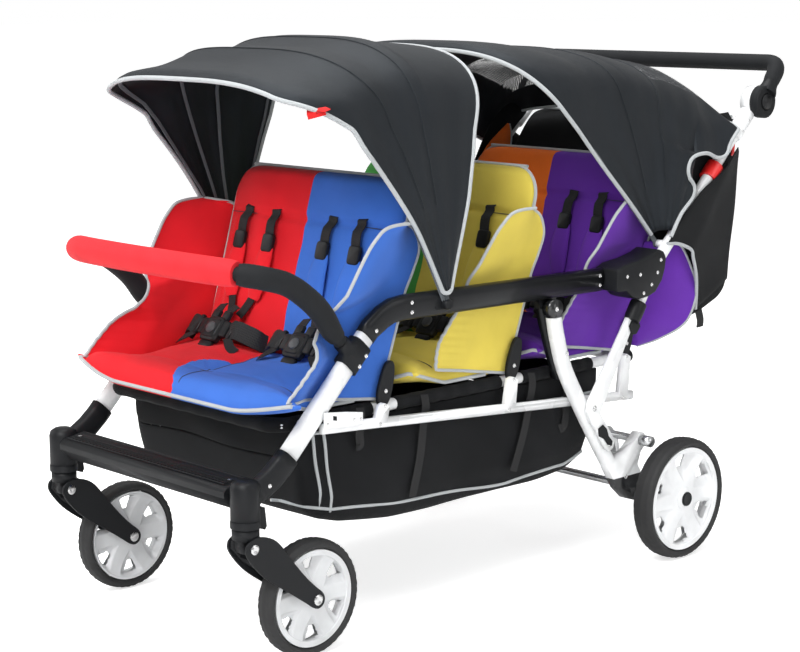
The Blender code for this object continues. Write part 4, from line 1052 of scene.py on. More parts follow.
def shoulder_strap(row, x, q):
    """Upper strap with its adjuster, soft pad and lower strap on one side of a place: each
    is a line up the back that stands proud of back_height by an eased amount."""
    up = np.linspace(0, 1, 12)
    a = np.linspace(0.305, 0.225, 12)
    h = back_height(x, a) + 0.0035 + 0.010 * np.sin(PI * up) * 0.6
    h[0] -= 0.010
    h[1] -= 0.004
    upper = strap_grid(on_back(row, x + 0.004 * q * up, a, h), FRONT, 0.024, 0.0018)
    a = 0.232
    spot = on_back(row, np.array(x + 0.004 * q), np.array(a), np.array(back_height(x, a) + 0.009))
    adjuster = block_grid(spot, ALONG, FRONT, 0.030, 0.036, 0.010)
    up = np.linspace(0, 1, 18)
    a = np.linspace(0.226, 0.120, 18)
    h = back_height(x, a) + 0.0065 + 0.004 * np.sin(np.linspace(0, PI, 18))
    pad = pad_strip(on_back(row, x + q * 0.003 - q * 0.010 * up ** 2, a, h), FRONT, 0.047, 0.011)
    up = np.linspace(0, 1, 10)
    a = np.linspace(0.128, 0.082, 10)
    h = back_height(x, a) + 0.0060 + 0.010 * up ** 2
    lower = strap_grid(on_back(row, x - q * (0.008 + 0.020 * up), a, h), FRONT, 0.020, 0.0018)
    return [upper, lower], adjuster, pad


def harness():
    """Five-point harness for each child: straps, pads, adjusters and a round-button buckle."""
    for row in ROWS:
        for tag, s in SIDE:
            name = "_%d_%s" % (row, tag)
            sides = [shoulder_strap(row, PLACE_X * s + q * 0.040, q) for q in (-1, 1)]
            straps = [strap for pair, _, _ in sides for strap in pair]
            many("shoulder_straps" + name, straps, "webbing", "back_%d" % row)
            many("strap_adjusters" + name, [p[1] for p in sides], "buckle", "back_%d" % row, smooth=30)
            obj = many("shoulder_pads" + name, [p[2] for p in sides], "row_%d" % row, "back_%d" % row)
            set_attribute(obj.data, "near", [max(s, 0.0)] * len(obj.data.vertices))
            buckle(row, name, PLACE_X * s)


def buckle(row, name, x):
    """Buckle with a round button, tongues, waist pads and crotch webbing, on the seat."""
    shift = row_shift(row)
    c = np.array([x, BUCKLE_SPOT[0] + shift, BUCKLE_SPOT[1]])
    up = unit(BUCKLE_UP)
    side = np.array([1.0, 0, 0])
    along = unit(np.cross(up, side))
    if along[2] < 0:
        along = -along

    def spot(across, forward, high):
        """Point given across, along and up from the middle of the buckle."""
        return c + side * across + along * forward + up * high

    def block(place, w, l, t):
        """Rounded block at such a point: width, length and thickness."""
        return block_grid(spot(*place), along, up, w, l, t)

    body = [block((0, 0, 0), 0.050, 0.054, 0.016), block((0, 0, 0.0060), 0.038, 0.040, 0.008)]
    for q in (-1, 1):
        body.append(block((q * 0.031, 0.004, 0), 0.022, 0.034, 0.010))
        body.append(block((q * 0.0155, 0.032, 0), 0.020, 0.022, 0.009))
        body.append(block((q * 0.0500, 0.006, -0.001), 0.010, 0.042, 0.009))
    body.append(block((0, -0.034, 0), 0.036, 0.014, 0.010))
    parts = [many("buckle" + name, body, "buckle", "chassis", smooth=30)]
    knob = turned(spot(0, 0, 0.0098), up, [(-0.002, 0), (-0.002, 0.0120), (0.0012, 0.0120),
                                           (0.0030, 0.0104), (0.0036, 0.0060), (0.0038, 0.0)], 28)
    parts.append(many("buckle_button" + name, [knob], "button", "chassis"))
    web = []
    for q in (-1, 1):
        lap = np.array([spot(q * 0.048, 0, -0.001), spot(q * 0.064, 0.006, 0.002),
                        spot(q * 0.084, 0.006, -0.008),
                        (x + q * 0.1020, -0.4480 + shift, 0.514), (x + q * 0.1060, -0.4290 + shift, 0.502)])
        web.append(strap_grid(curve(lap, 6), unit(up + side * q * 0.3), 0.038, 0.005))
        tongue = [spot(q * 0.0155, 0.036, 0), spot(q * 0.017, 0.048, -0.001), spot(q * 0.020, 0.060, -0.006)]
        web.append(strap_grid(curve(tongue, 5), up, 0.020, 0.002))
        loose = [spot(q * 0.050, -0.012, 0), spot(q * 0.072, -0.030, 0.002), spot(q * 0.088, -0.036, -0.004)]
        web.append(strap_grid(curve(loose, 5), unit(up + along * 0.4), 0.018, 0.0016))
    crotch = [spot(0, -0.038, 0), spot(0, -0.050, 0.002), spot(0, -0.056, -0.012)]
    web.append(strap_grid(curve(crotch, 6), up, 0.026, 0.002))
    parts.append(many("lap_webbing" + name, web, "webbing", "chassis"))
    for obj in parts:
        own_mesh(obj)


# Canopies
# Clips as (y, z). Bows and rows of cloth stand at angles in degrees about them
CLIP_F = (-0.263, 0.600)
CLIP_R = (0.359, 0.655)
CANOPY_WALL = 0.0016
CANOPY_PIPING = 0.0042
# Rows: angle, X at the hub, radius at the shoulder, radius at the crown, half width
FRONT_ROWS = [(132.5, 0.3085, 0.4885, 0.5595, 0.2925), (130.0, 0.3085, 0.4880, 0.5570, 0.2925),
              (122.5, 0.3085, 0.4440, 0.5300, 0.2930), (115.0, 0.3085, 0.4125, 0.5095, 0.2935),
              (107.5, 0.3085, 0.3970, 0.4960, 0.2935), (100.0, 0.3085, 0.3890, 0.4875, 0.2935),
              (88.0, 0.3085, 0.3890, 0.4840, 0.2930), (75.5, 0.3085, 0.3910, 0.4790, 0.2925)]
FRONT_BOWS = (76, 100, 115, 130)
REAR_ROWS = [(136.0, 0.2980, 0.4600, 0.5750, 0.2925), (133.9, 0.2980, 0.4595, 0.5730, 0.2925),
             (120.0, 0.2985, 0.4125, 0.4680, 0.2930), (106.0, 0.3040, 0.3715, 0.4110, 0.2950),
             (90.0, 0.3180, 0.3240, 0.3850, 0.3020), (75.0, 0.3300, 0.3020, 0.3790, 0.3080),
             (60.0, 0.3330, 0.3040, 0.3830, 0.3120), (50.0, 0.3330, 0.3180, 0.3800, 0.3150),
             (44.0, 0.3325, 0.3320, 0.3680, 0.3180)]
REAR_BOWS = (44, 75, 105, 134)
REAR_HEM = [(0.3330, 0.3560, 0.6720), (0.3335, 0.3875, 0.7168), (0.3335, 0.4250, 0.7490),
            (0.3335, 0.4284, 0.7721), (0.3335, 0.4125, 0.7880), (0.3335, 0.4070, 0.8083),
            (0.3335, 0.4215, 0.8303), (0.3335, 0.4683, 0.8362), (0.3335, 0.5060, 0.8240),
            (0.3330, 0.5362, 0.8293), (0.3320, 0.5500, 0.8525), (0.3310, 0.5800, 0.8800)]


def hoop(x_hub, shoulder, crown, wide, start, count):
    """Half hoop from its clip end to the crown as (x, r), evenly spaced:
    a straight side, then x = wide cos^0.6 and r rising as sin^0.85."""
    s0 = shoulder - 0.060
    t = np.linspace(0, PI / 2, 60)
    x = wide * np.clip(np.cos(t), 0, 1) ** 0.60
    r = s0 + (crown - s0) * np.sin(t) ** 0.85
    low = np.array([(x_hub, start), (x_hub, 0.10), (x_hub - 0.001, 0.20), (0.5 * (x_hub + wide), s0 - 0.05)])
    low = low[low[:, 1] >= start]
    return resample(np.concatenate([low, np.column_stack([x, r])]), count)


def canopy_grid(clip, rows, bows, start, count, steps, sag):
    """Canopy surface: hoops at each angle, their sizes eased between the listed rows,
    drawn in between the bows by sag times a sine, with folds that run from the clip."""
    table = np.array(rows)
    angles = np.linspace(table[0, 0], table[-1, 0], steps)
    order = np.argsort(table[:, 0])
    sizes = [np.interp(angles, table[order, 0], table[order, k]) for k in range(1, table.shape[1])]
    grid = []
    for a, x_hub, shoulder, crown, wide in zip(angles, *sizes):
        half = hoop(x_hub, shoulder, crown, wide, start, count)
        full = np.concatenate([half, half[-2::-1] * np.array([-1, 1])])
        nearest = sorted(bows, key=lambda b: abs(b - a))[:2]
        lo, hi = min(nearest), max(nearest)
        dip = sag * math.sin(PI * np.clip((a - lo) / (hi - lo), 0, 1)) * (1.0 if lo <= a <= hi else 0.3)
        x = full[:, 0]
        r = full[:, 1] - dip * np.clip(1.2 - (np.abs(x) / 0.30) ** 4, 0, 1)
        side = np.clip((np.abs(x) - 0.26) / 0.03, 0, 1)
        fold = 0.0007 * math.sin(a * 0.55) + 0.0013 * np.sin(r * 23 + a * 0.13)
        t = math.radians(a)
        grid.append(np.column_stack([x + np.sign(x) * side * fold, clip[0] + r * math.cos(t),
                                     clip[1] + r * math.sin(t)]))
    return np.array(grid), angles


def crest_seams(P, angles, at, clip, cut, count):
    """Lines over the cloth at some angles, set a millimetre out from the clip."""
    seams = []
    for a in at:
        line = P[int(np.argmin(np.abs(angles - a))), cut:-cut]
        out = unit(line - np.array([0, *clip]))
        seams.append(resample(line + out * 0.0010, count))
    return seams


def swoop(P):
    """Turns the sides of the front canopy back about its clip: by 8 degrees below the
    shoulder and 5 more near the clip, eased to nothing at the crown and at the rear."""
    y, z = P[..., 1] - CLIP_F[0], P[..., 2] - CLIP_F[1]
    r = np.hypot(y, z)
    a = np.degrees(np.arctan2(z, y))
    front = np.clip((a - 98.0) / 34.5, 0, 1) ** 1.2
    turn = 8.0 * np.clip((0.520 - r) / 0.12, 0, 1) + 5.0 * np.clip((0.360 - r) / 0.20, 0, 1)
    a = np.radians(a - turn * front)
    return np.stack([P[..., 0], CLIP_F[0] + r * np.cos(a), CLIP_F[1] + r * np.sin(a)], -1)


def swept_bows():
    """The fine copies of the three moving bows are swept back as the cloth is."""
    for bow in ("front", "mid_a", "mid_b"):
        mesh = bpy.data.objects["fine_canopy_bow_" + bow].data
        co = swoop(points_of(mesh) - [0, Y0, 0]) + [0, Y0, 0]
        mesh.vertices.foreach_set("co", co.ravel())
        mesh.update()


def front_canopy():
    """Front canopy: its cloth and its piping, crest seams, tab and fixed rear bow."""
    P, angles = canopy_grid(CLIP_F, FRONT_ROWS, FRONT_BOWS, 0.028, 44, 60, 0.010)
    P = swoop(P)
    swept_bows()
    obj = grid_piece("canopy_front_cloth", P, "canopy", None, attrs={"window": np.zeros(P.shape[:2])},
                     smooth=0)
    solid(obj, CANOPY_WALL)
    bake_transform(obj)
    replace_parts(obj, "front_canopy")
    parts = [pipe("canopy_front_piping_front", resample(P[0], 170), CANOPY_PIPING, "piping", None, 8),
             pipe("canopy_front_piping_rear", resample(P[-1], 170), CANOPY_PIPING, "piping", None, 8)]
    low = []
    for s, end in ((1, 0), (-1, -1)):
        drop = np.array([0.0005 * s, 0, -0.004])
        low.append(curve([P[0, end], P[20, end] + drop, P[40, end] + drop, P[-1, end]], 6))
    parts.append(pipes("canopy_front_piping_low", low, CANOPY_PIPING, "piping", None))
    seams = crest_seams(P, angles, (100.0, 115.0), CLIP_F, 10, 90)
    parts.append(pipes("canopy_front_seams", seams, 0.0016, "canopy", None, 6))
    line = P[-4]
    inward = unit(np.array([0, *CLIP_F]) - line) * 0.004
    inward[:, 0] = -np.sign(line[:, 0]) * 0.004
    pipe("canopy_front_rear_bow", resample(line + inward, 120), 0.0030, "binding", "chassis", 8)
    spot = P[0, int(np.argmin(np.abs(P[0, :, 0] - 0.283) + (P[0, :, 2] < 0.85)))]
    path = spot + np.array([(-0.002, 0.014, 0.008), (0, -0.0046, 0.002), (0.001, -0.0030, -0.010)])
    tab = strap_grid(curve(path, 5), (0.35, -0.5, 0.8), 0.032, 0.0016)
    parts.append(many("canopy_front_tab", [tab], "tab", None))
    for part in parts:
        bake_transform(part)


def rear_cloth():
    """Rear canopy surface. Behind 66 degrees its rows pass evenly into the lower hem, which
    bends round the fold trigger in a keyhole and rises by a sine behind the last row."""
    P, angles = canopy_grid(CLIP_R, REAR_ROWS, REAR_BOWS, 0.030, 56, 96, 0.007)
    side = 34
    hem = resample(curve(REAR_HEM, 8), side)
    k = np.linspace(0, 1, P.shape[1] - 2 * side)[:, None]
    middle = hem[-1] * (1 - k) + mirrored(hem[-1], -1) * k
    middle = middle + np.sin(PI * k) ** 0.6 * np.array([0, 0.028, 0.036])
    low = np.concatenate([hem, middle, mirrored(hem[::-1], -1)])
    first = int(np.argmin(np.abs(angles - 66)))
    f = np.clip((np.arange(len(angles)) - first) / (len(angles) - 1 - first), 0, 1)[:, None, None]
    P = np.where(f > 0, P[first][None] * (1 - f) + low[None] * f, P)
    belly = 4 * f * (1 - f) * np.array([0.0, 0.010, 0.020])
    return P + belly * np.clip(1 - np.abs(P[..., :1]) / 0.30, 0, 1), angles


def rear_canopy():
    """Rear canopy: over its bow, then outside the handle tubes, with a mesh window in the roof."""
    P, angles = rear_cloth()
    A = np.broadcast_to(angles[:, None], P.shape[:2])
    x = np.abs(P[..., 0])
    window = ((A > 57) & (A < 91) & (x > 0.010) & (x < 0.272)).astype(float)
    obj = grid_piece("canopy_rear_cloth", P, "canopy", None, attrs={"window": window}, smooth=0)
    solid(obj, CANOPY_WALL)
    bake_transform(obj)
    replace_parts(obj, "rear_canopy")
    hem = resample(P[-1] + np.array([0, 0, 0.0006]), 260)
    seams = crest_seams(P, angles, (112.0, 92.0), CLIP_R, 8, 110)
    parts = [pipe("canopy_rear_piping_front", resample(P[0], 190), CANOPY_PIPING, "piping", None, 8),
             pipe("canopy_rear_piping_low", hem, 0.0040, "piping", None, 8),
             pipes("canopy_rear_seams", seams, 0.0014, "canopy", None, 6)]
    for part in parts:
        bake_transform(part)


# Storage bag behind the last row
BAG_MIDDLE = np.array([0.530, 0.660])
BAG_PROFILE = [(0.440, 0.700), (0.408, 0.560), (0.422, 0.492), (0.445, 0.477), (0.500, 0.484),
               (0.545, 0.500), (0.585, 0.520), (0.606, 0.552), (0.612, 0.620), (0.614, 0.720),
               (0.618, 0.800), (0.628, 0.870), (0.636, 0.900), (0.606, 0.878), (0.548, 0.805),
               (0.480, 0.745)]
BAG_HALF = 0.2935
BAG_SIDE_FRONT = [(0.3335, 0.345, 0.660), (0.3335, 0.385, 0.655), (0.3335, 0.424, 0.640),
                  (0.3300, 0.436, 0.622), (0.3220, 0.458, 0.585), (0.3120, 0.474, 0.548),
                  (0.3030, 0.484, 0.505)]
BAG_SIDE_REAR = [(0.3335, 0.395, 0.715), (0.3335, 0.450, 0.757), (0.3330, 0.500, 0.782),
                 (0.3310, 0.548, 0.810), (0.3220, 0.594, 0.842), (0.3100, 0.609, 0.800),
                 (0.3060, 0.602, 0.680), (0.3040, 0.590, 0.560)]
BAG_STRAP = [(0.3005, 0.498, 0.500), (0.3030, 0.502, 0.480), (0.3015, 0.503, 0.464)]


def bag_cloth():
    """Bag: its profile carried across, drawn in at the sides to a point, with dents."""
    profile = curve(BAG_PROFILE, 5, True)
    u = np.sin(np.linspace(-PI / 2, PI / 2, 56))
    k = np.maximum((1 - np.abs(u) ** 14) ** 0.35, 0.02)
    yz = BAG_MIDDLE + (profile - BAG_MIDDLE)[None] * (0.92 + 0.08 * k[:, None, None])
    end = (np.abs(u) > 0.999)[:, None, None]
    yz = np.where(end, BAG_MIDDLE, yz)
    X = np.broadcast_to(BAG_HALF * u[:, None], yz.shape[:2])
    y, z = yz[..., 0], yz[..., 1]
    dent = 0.0045 * np.sin(9 * X + 14 * z) * np.sin(12 * z + 2)
    dent = dent + 0.0016 * np.sin(60 * X + 25 * y) + 0.003 * np.sin(31 * z + 12 * X)
    yz = np.where(end, yz, yz + dent[..., None] * unit(yz - BAG_MIDDLE))
    P = np.concatenate([X[..., None], yz], -1)
    obj = grid_piece("bag_cloth", P, "bag", "chassis", False, True, merge=DOUBLES, smooth=0)
    smoothed(obj)
    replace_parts(obj, "rear_bag")


def bag_side(tag, s):
    """Gathered side of the bag, its strap end and its two toggles."""
    P, t = ruled(BAG_SIDE_FRONT, BAG_SIDE_REAR, s, 30, 22)
    P[..., 0] += s * (0.0025 * np.sin(PI * t) + 0.0012 * np.sin(40 * P[..., 1] + 30 * P[..., 2]))
    obj = grid_piece("bag_side_" + tag, P, "bag", "chassis", smooth=0)
    solid(obj, 0.0016)
    web = strap_grid(curve(mirrored(BAG_STRAP, s), 5), (s, 0, 0), 0.022, 0.002)
    many("bag_strap_" + tag, [web], "webbing", "chassis")
    toggles = [block_grid(np.array([0.2880 * s, 0.6120, z]), (0, 0.1, 1), (0, 1, 0), 0.016, 0.030, 0.010)
               for z in (0.835, 0.772)]
    many("bag_toggle_" + tag, toggles, "trigger", "chassis")


def bag():
    """Storage bag: cloth, sides, piping and a rear pocket that hangs as a ruffled sheet."""
    bag_cloth()
    hems = []
    for tag, s in SIDE:
        bag_side(tag, s)
        hems.append(curve(mirrored(BAG_SIDE_FRONT, s), 6))
    x = np.linspace(-0.285, 0.285, 60)
    hems.append(np.column_stack([x, 0.638 - 0.10 * (x / 0.6) ** 2, 0.905 - 0.012 * np.cos(x * 5)]))
    pipes("bag_piping", [resample(line, 90) for line in hems], 0.0036, "piping", "chassis")
    f = np.linspace(0, 1, 16)[:, None]
    y = 0.6255 + 0.004 * np.sin(x * 30) * f + 0.002 * f
    z = 0.84 - 0.17 * f - 0.012 * f * np.cos(x * 8)
    P = np.stack([np.broadcast_to(x * 0.90, z.shape), y, z], -1)
    obj = grid_piece("bag_rear_pocket", P, "bag", "chassis", smooth=0)
    solid(obj, 0.0018)
    pipes("bag_pocket_hem", [resample(P[0], 60), resample(P[-1], 60)], 0.0026, "binding", "chassis")


# Basket
# Each pair gives stations along Y and the value at each
FLOOR_Z = ([-0.575, -0.566, -0.556, -0.540, -0.515, -0.467, -0.34, -0.23, -0.09, 0.06, 0.15, 0.19, 0.212,
            0.224],
           [0.345, 0.290, 0.258, 0.240, 0.226, 0.214, 0.199, 0.193, 0.192, 0.195, 0.204, 0.222, 0.262,
            0.330])
RIM_Z = ([-0.575, -0.52, -0.434, -0.1, 0.127, 0.224], [0.4065, 0.4050, 0.404, 0.4045, 0.4050, 0.4060])
RIM_X = ([-0.575, -0.53, -0.49], [0.236, 0.2475, 0.250])
TOP_PIPING_Z = ([-0.575, -0.50, -0.434, -0.1, 0.127, 0.224], [0.396, 0.392, 0.389, 0.371, 0.360, 0.360])
TOP_PIPING_X = ([-0.575, -0.53, -0.49, 0.224], [0.243, 0.2545, 0.2585, 0.2580])
LOW_PIPING_Z = ([-0.575, -0.50, -0.383, -0.259, -0.19, -0.038, 0.134, 0.224],
                [0.262, 0.243, 0.236, 0.223, 0.219, 0.211, 0.217, 0.250])
# Points across the tray, and the first of them on its near wall
BASKET_ACROSS = 81
NEAR_WALL = 57
# Y at the top and at the bottom of each hanging strap, and the height of its end
BASKET_STRAPS = ((-0.277, -0.311, 0.236), (0.018, -0.034, 0.236), (0.128, 0.100, 0.30),
                 (-0.440, -0.452, 0.36))


def basket_grid():
    """Cloth tray: across it is a flattened U that bellies out by a sine; along it the floor
    follows the measured sag, and the front leans in below like a bucket."""
    y = np.concatenate([np.linspace(-0.575, -0.500, 14), np.linspace(-0.49, 0.19, 60),
                        np.linspace(0.196, 0.224, 9)])
    low = np.interp(y, *FLOOR_Z)
    top = np.interp(y, *RIM_Z)
    q = np.linspace(-1, 1, BASKET_ACROSS)
    k = np.abs(q)
    across = np.where(k < 0.58, k / 0.58 * 0.955, 0.955 + 0.045 * np.clip((k - 0.58) / 0.10, 0, 1))
    X = np.sign(q)[None] * across[None] * np.interp(y, *RIM_X)[:, None]
    wall = np.clip((k - 0.56) / 0.44, 0, 1)[None]
    Z = low[:, None] + (top - low)[:, None] * wall ** 1.05
    Y = np.broadcast_to(y[:, None], Z.shape).copy()
    hang = (np.sin(PI * wall) ** 0.8) * (wall > 0)
    belly = 0.0045 + 0.0045 * np.sin(15 * Y + 0.6) + 0.002 * np.sin(47 * Y + 50 * Z)
    X = X + np.sign(q)[None] * hang * belly
    X = X * (1 - 0.05 * np.clip((0.245 - Z) / 0.05, 0, 1) * wall)
    Z = Z + (1 - wall) * 0.0030 * np.sin(20 * X) * np.sin(13 * Y)
    return np.stack([X, Y, Z], -1), y, top


def basket_end(tag, line, top, sign):
    """End panel: straight lines from the tray's last row up to its rim, bulged by a sine."""
    f = np.linspace(0, 1, 22)[:, None]
    x, y = [np.broadcast_to(line[None, :, k], (22, BASKET_ACROSS)) for k in (0, 1)]
    z = line[None, :, 2] + (top - line[None, :, 2]) * f
    y = y + (sign * 0.004 * np.sin(PI * f) * np.cos(6 * x) + 0.0015 * np.sin(30 * x + 30 * z))
    P = np.stack([x, y, z], -1)
    obj = grid_piece("basket_end_" + tag, P, "bag", "chassis", smooth=0)
    solid(obj, 0.0016)
    return obj


def basket_piping(P, y):
    """Lines of the piping: under the rim, along the floor's edge and up the front corners."""
    lines = []
    for s in (1, -1):
        lines.append(np.column_stack([np.interp(y, *TOP_PIPING_X) * s, y, np.interp(y, *TOP_PIPING_Z)]))
        z = np.interp(y, *LOW_PIPING_Z) + 0.0028 * np.sin(22 * y)
        x = np.array([np.interp(z[i], np.sort(P[i, NEAR_WALL:, 2]), np.sort(P[i, NEAR_WALL:, 0]))
                      for i in range(len(y))])
        lines.append(np.column_stack([(x + 0.0018) * s, y, z]))
        for corner in (-0.533, -0.512):
            col = P[int(np.argmin(np.abs(y - corner))), NEAR_WALL:]
            col = col[col[:, 2] > 0.240] + np.array([0.0016, 0, 0])
            col[:, 1] += np.linspace(0.012, -0.012, len(col))
            lines.append(mirrored(col, s))
    lines.append(np.column_stack([np.linspace(-0.240, 0.240, 60), np.full(60, -0.5795), np.full(60, 0.4110)]))
    return pipes("basket_piping", [resample(line, 90) for line in lines], 0.0030, "piping", "chassis")


def basket_straps():
    """Webbing that hangs from the seat rail over the basket's sides."""
    straps = []
    for s in (1, -1):
        for a, b, end in BASKET_STRAPS:
            line = np.array([(0.2585, a, 0.4260), (0.2650, a - 0.002, 0.405), (0.2640, a - 0.006, 0.380),
                             (0.2650, 0.5 * (a + b), 0.31), (0.2620, b, end)])
            line[:, 2] = np.maximum(line[:, 2], end)
            straps.append(strap_grid(curve(mirrored(line, s), 8), (s, 0, 0), 0.020, 0.0016))
    return many("basket_straps", straps, "webbing", "chassis")


def basket():
    """Basket with its end panels, piping and straps, each with its own copy of its mesh."""
    P, y, top = basket_grid()
    obj = grid_piece("basket_cloth", P, "bag", "chassis", smooth=0)
    ends = [basket_end("front", P[0], top[0] + 0.006, -1), basket_end("rear", P[-1], top[-1], 1)]
    solid(obj, 0.0016)
    smoothed(obj)
    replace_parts(obj, "basket")
    for part in [obj] + ends + [basket_piping(P, y), basket_straps()]:
        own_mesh(part)


# Wheels
# Axles as (y, z)
FRONT_AXLE = (-0.580, 0.1067)
REAR_AXLE = (0.370, 0.1270)
SPOKES = 6
SPOKE = 2 * PI / SPOKES
HUB_CAP = [(0, 0), (0, 0.0150), (0.0030, 0.0146), (0.0045, 0.0125), (0.0040, 0.0100), (0.0040, 0)]


def tyre(name, body, x, y, z, radius, bead, half, knobs):
    """Tyre: a round-shouldered profile spun about X, its crown cut by tread blocks and
    two grooves."""
    side = [(0.55, bead + 0.0005), (0.86, bead + 0.003), (1.0, bead + 0.4 * (radius - bead)),
            (0.93, radius - 0.006), (0.70, radius - 0.0018), (0.35, radius - 0.0003)]
    prof = [(-half * w, r) for w, r in side] + [(0, radius)] + [(half * w, r) for w, r in side[::-1]]
    prof = curve(prof + [(0, bead + 0.0003)], 2, True)
    ang = np.arange(144)[:, None] * 2 * PI / 144
    across = prof[None, :, 0]
    r = np.broadcast_to(prof[None, :, 1], (len(ang), len(prof)))
    tread = np.clip((r - (radius - 0.008)) / 0.006, 0, 1)
    block = (np.sin(ang * knobs + np.sign(across) * 0.9) > 0.35) * (np.abs(across) > half * 0.45)
    groove = bell(np.abs(across), half * 0.35, half * 0.10)
    r = r - tread * (0.0012 * block + 0.0014 * groove)
    P = np.stack([np.broadcast_to(x + across, r.shape), y + r * np.cos(ang), z + r * np.sin(ang)], -1)
    return grid_piece(name, P, "tyre", body, True, True, smooth=35)


def rim(name, body, x, y, z, bead, half, hub, mat):
    """Rim: a flanged ring, a turned hub, and between them two faces as heights over angle
    and radius: each spoke stands out, and the scoop beside it is cut through where it is
    deepest."""
    out = 1.0 if x > 0 else -1.0
    b = bead - 0.0003
    f = half * 0.82
    ring = np.array([(-f, b), (-f, b - 0.0035), (-f + 0.003, b - 0.0065), (-f * 0.5, b - 0.0085),
                     (0, b - 0.0090), (f * 0.55, b - 0.0085), (f - 0.002, b - 0.0110), (f, b - 0.0095),
                     (f, b)])
    ang = np.arange(96)[None] * 2 * PI / 96
    flange = np.stack([np.broadcast_to(x + ring[:, :1] * out, (len(ring), 96)),
                       y + ring[:, 1:] * np.cos(ang), z + ring[:, 1:] * np.sin(ang)], -1)
    verts, faces = [flange.reshape(-1, 3)], [quads(len(ring), 96, True, True)]
    start = len(verts[0])
    nr, nt = 30, 216
    r = np.linspace(hub * 0.80, b - 0.0050, nr)[:, None]
    t = (np.arange(nt) * 2 * PI / nt)[None]
    u = (r - r.min()) / (r.max() - r.min())
    proud = f * (0.86 - 0.30 * np.sin(PI * u) + 0.10 * u ** 4)
    d = (t - PI / 6 + SPOKE / 2) % SPOKE - SPOKE / 2
    wide = np.maximum(SPOKE / 2 - np.arcsin(np.clip(0.0120 / r, 0, 0.9)) * (1 + 0.5 * (1 - u) ** 2), 0.02)
    across = np.clip(1 - (np.abs(d) / wide) ** 2.4, 0, 1)
    along = np.clip((u - 0.16) / 0.42, 0, 1) * np.clip((0.985 - u) / 0.10, 0, 1) ** 0.7
    w = eased(across * along)
    height = proud * (1 - w) + 0.0012 * w
    hole = (w > 0.60) & (u > 0.52) & (d / wide > -0.15 - 0.8 * (u - 0.5))
    cells = quads(nr, nt, False, True)
    cells = cells[~hole.ravel()[cells].all(1)]
    for q in (1.0, -1.0):
        face = np.stack([x + q * out * height, np.broadcast_to(y + r * np.cos(t), height.shape),
                         np.broadcast_to(z + r * np.sin(t), height.shape)], -1)
        verts.append(face.reshape(-1, 3))
        faces.append(cells + start)
        start += nr * nt
    profile = [(-f, 0), (-f, hub * 0.8), (-f + 0.004, hub * 0.86), (f * 0.5, hub * 0.95),
               (f * 0.92, hub * 0.9), (f * 1.05, hub * 0.62), (f * 1.08, hub * 0.5),
               (f * 1.0, hub * 0.45), (f * 1.0, 0)]
    nave = turned((x, y, z), (out, 0, 0), profile, 40)
    verts.append(nave.reshape(-1, 3))
    faces.append(quads(*nave.shape[:2], False, True, start))
    verts = np.concatenate(verts)
    return piece(name, verts, np.concatenate(faces), mat, body, verts[:, 1:], merge=1e-7, smooth=50)


def wheels():
    """Four wheels. They stand on the floor, so an axle's height is its wheel's radius; then
    come the bead's radius, half the width and the hub's radius, all in metres."""
    for side, s in (("left", 1), ("right", -1)):
        for end, x, (y, z), bead, half, hub, mat, knobs in (
                ("front", 0.274 * s, FRONT_AXLE, 0.0885, 0.0195, 0.020, "rim", 44),
                ("rear", 0.359 * s, REAR_AXLE, 0.1080, 0.0235, 0.027, "rim_light", 52)):
            tag = "%s_%s" % (end, side)
            body = "%s_wheel_%s" % (end, side)
            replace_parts(tyre("tyre_" + tag, body, x, y, z, z, bead, half, knobs), "%s_tyre_%s" % (end, side))
            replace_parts(rim("rim_" + tag, body, x, y, z, bead, half, hub, mat), "%s_rim_%s" % (end, side))
            if end == "rear":
                face = half * 0.82 * 1.075
                cap = turned((x + s * face, y, z), (s, 0, 0), HUB_CAP, 32)
                many("hub_cap_" + tag, [cap], "mould", body)


# Trims
# Spots are given for the near side as (x, y, z)
RAIL_Z = 0.4175
FORK_PIVOT = (-0.723, 0.228)
HANDLE_HUB = np.array([0.3316, 0.660, 0.935])
FRAME_SCREWS = [(0.2968, -0.346, 0.612), (0.2968, -0.346, 0.594), (0.2968, 0.178, 0.607),
                (0.2968, 0.178, 0.588), (0.2895, -0.427, 0.569), (0.3308, 0.222, 0.604),
                (0.3308, 0.263, 0.604), (0.3308, 0.300, 0.580), (0.3308, 0.318, 0.603),
                (0.3308, 0.328, 0.628), (0.3308, 0.275, 0.565), (0.2915, -0.4545, 0.5275),
                (0.2915, -0.4705, 0.5105), (0.2895, -0.6785, 0.3300)]
LEG_SCREWS = [(0.3048, 0.072, 0.464), (0.3048, 0.040, 0.556), (0.3048, 0.262, 0.180)]
BRACE_RIVETS = [(0.3148, 0.147, 0.343), (0.3148, 0.196, 0.262)]
BRACKET_RIVETS = [(0.2935, -0.548, 0.4180), (0.2935, -0.486, 0.4170), (0.2935, -0.470, 0.4160)]
# Fork bolts: place as (y, z), radius of the head, outer cap and inner cap as (height, radius)
FORK_BOLTS = [(FORK_PIVOT, 0.0088, [(0.0035, 0.0062), (0.0030, 0.0035), (0.0015, 0)],
               [(0.0035, 0.0060), (0.0035, 0)]),
              (FRONT_AXLE, 0.0098, [(0.0040, 0.0068), (0.0034, 0.0035), (0.0015, 0)],
               [(0.0040, 0.0060), (0.0040, 0)])]
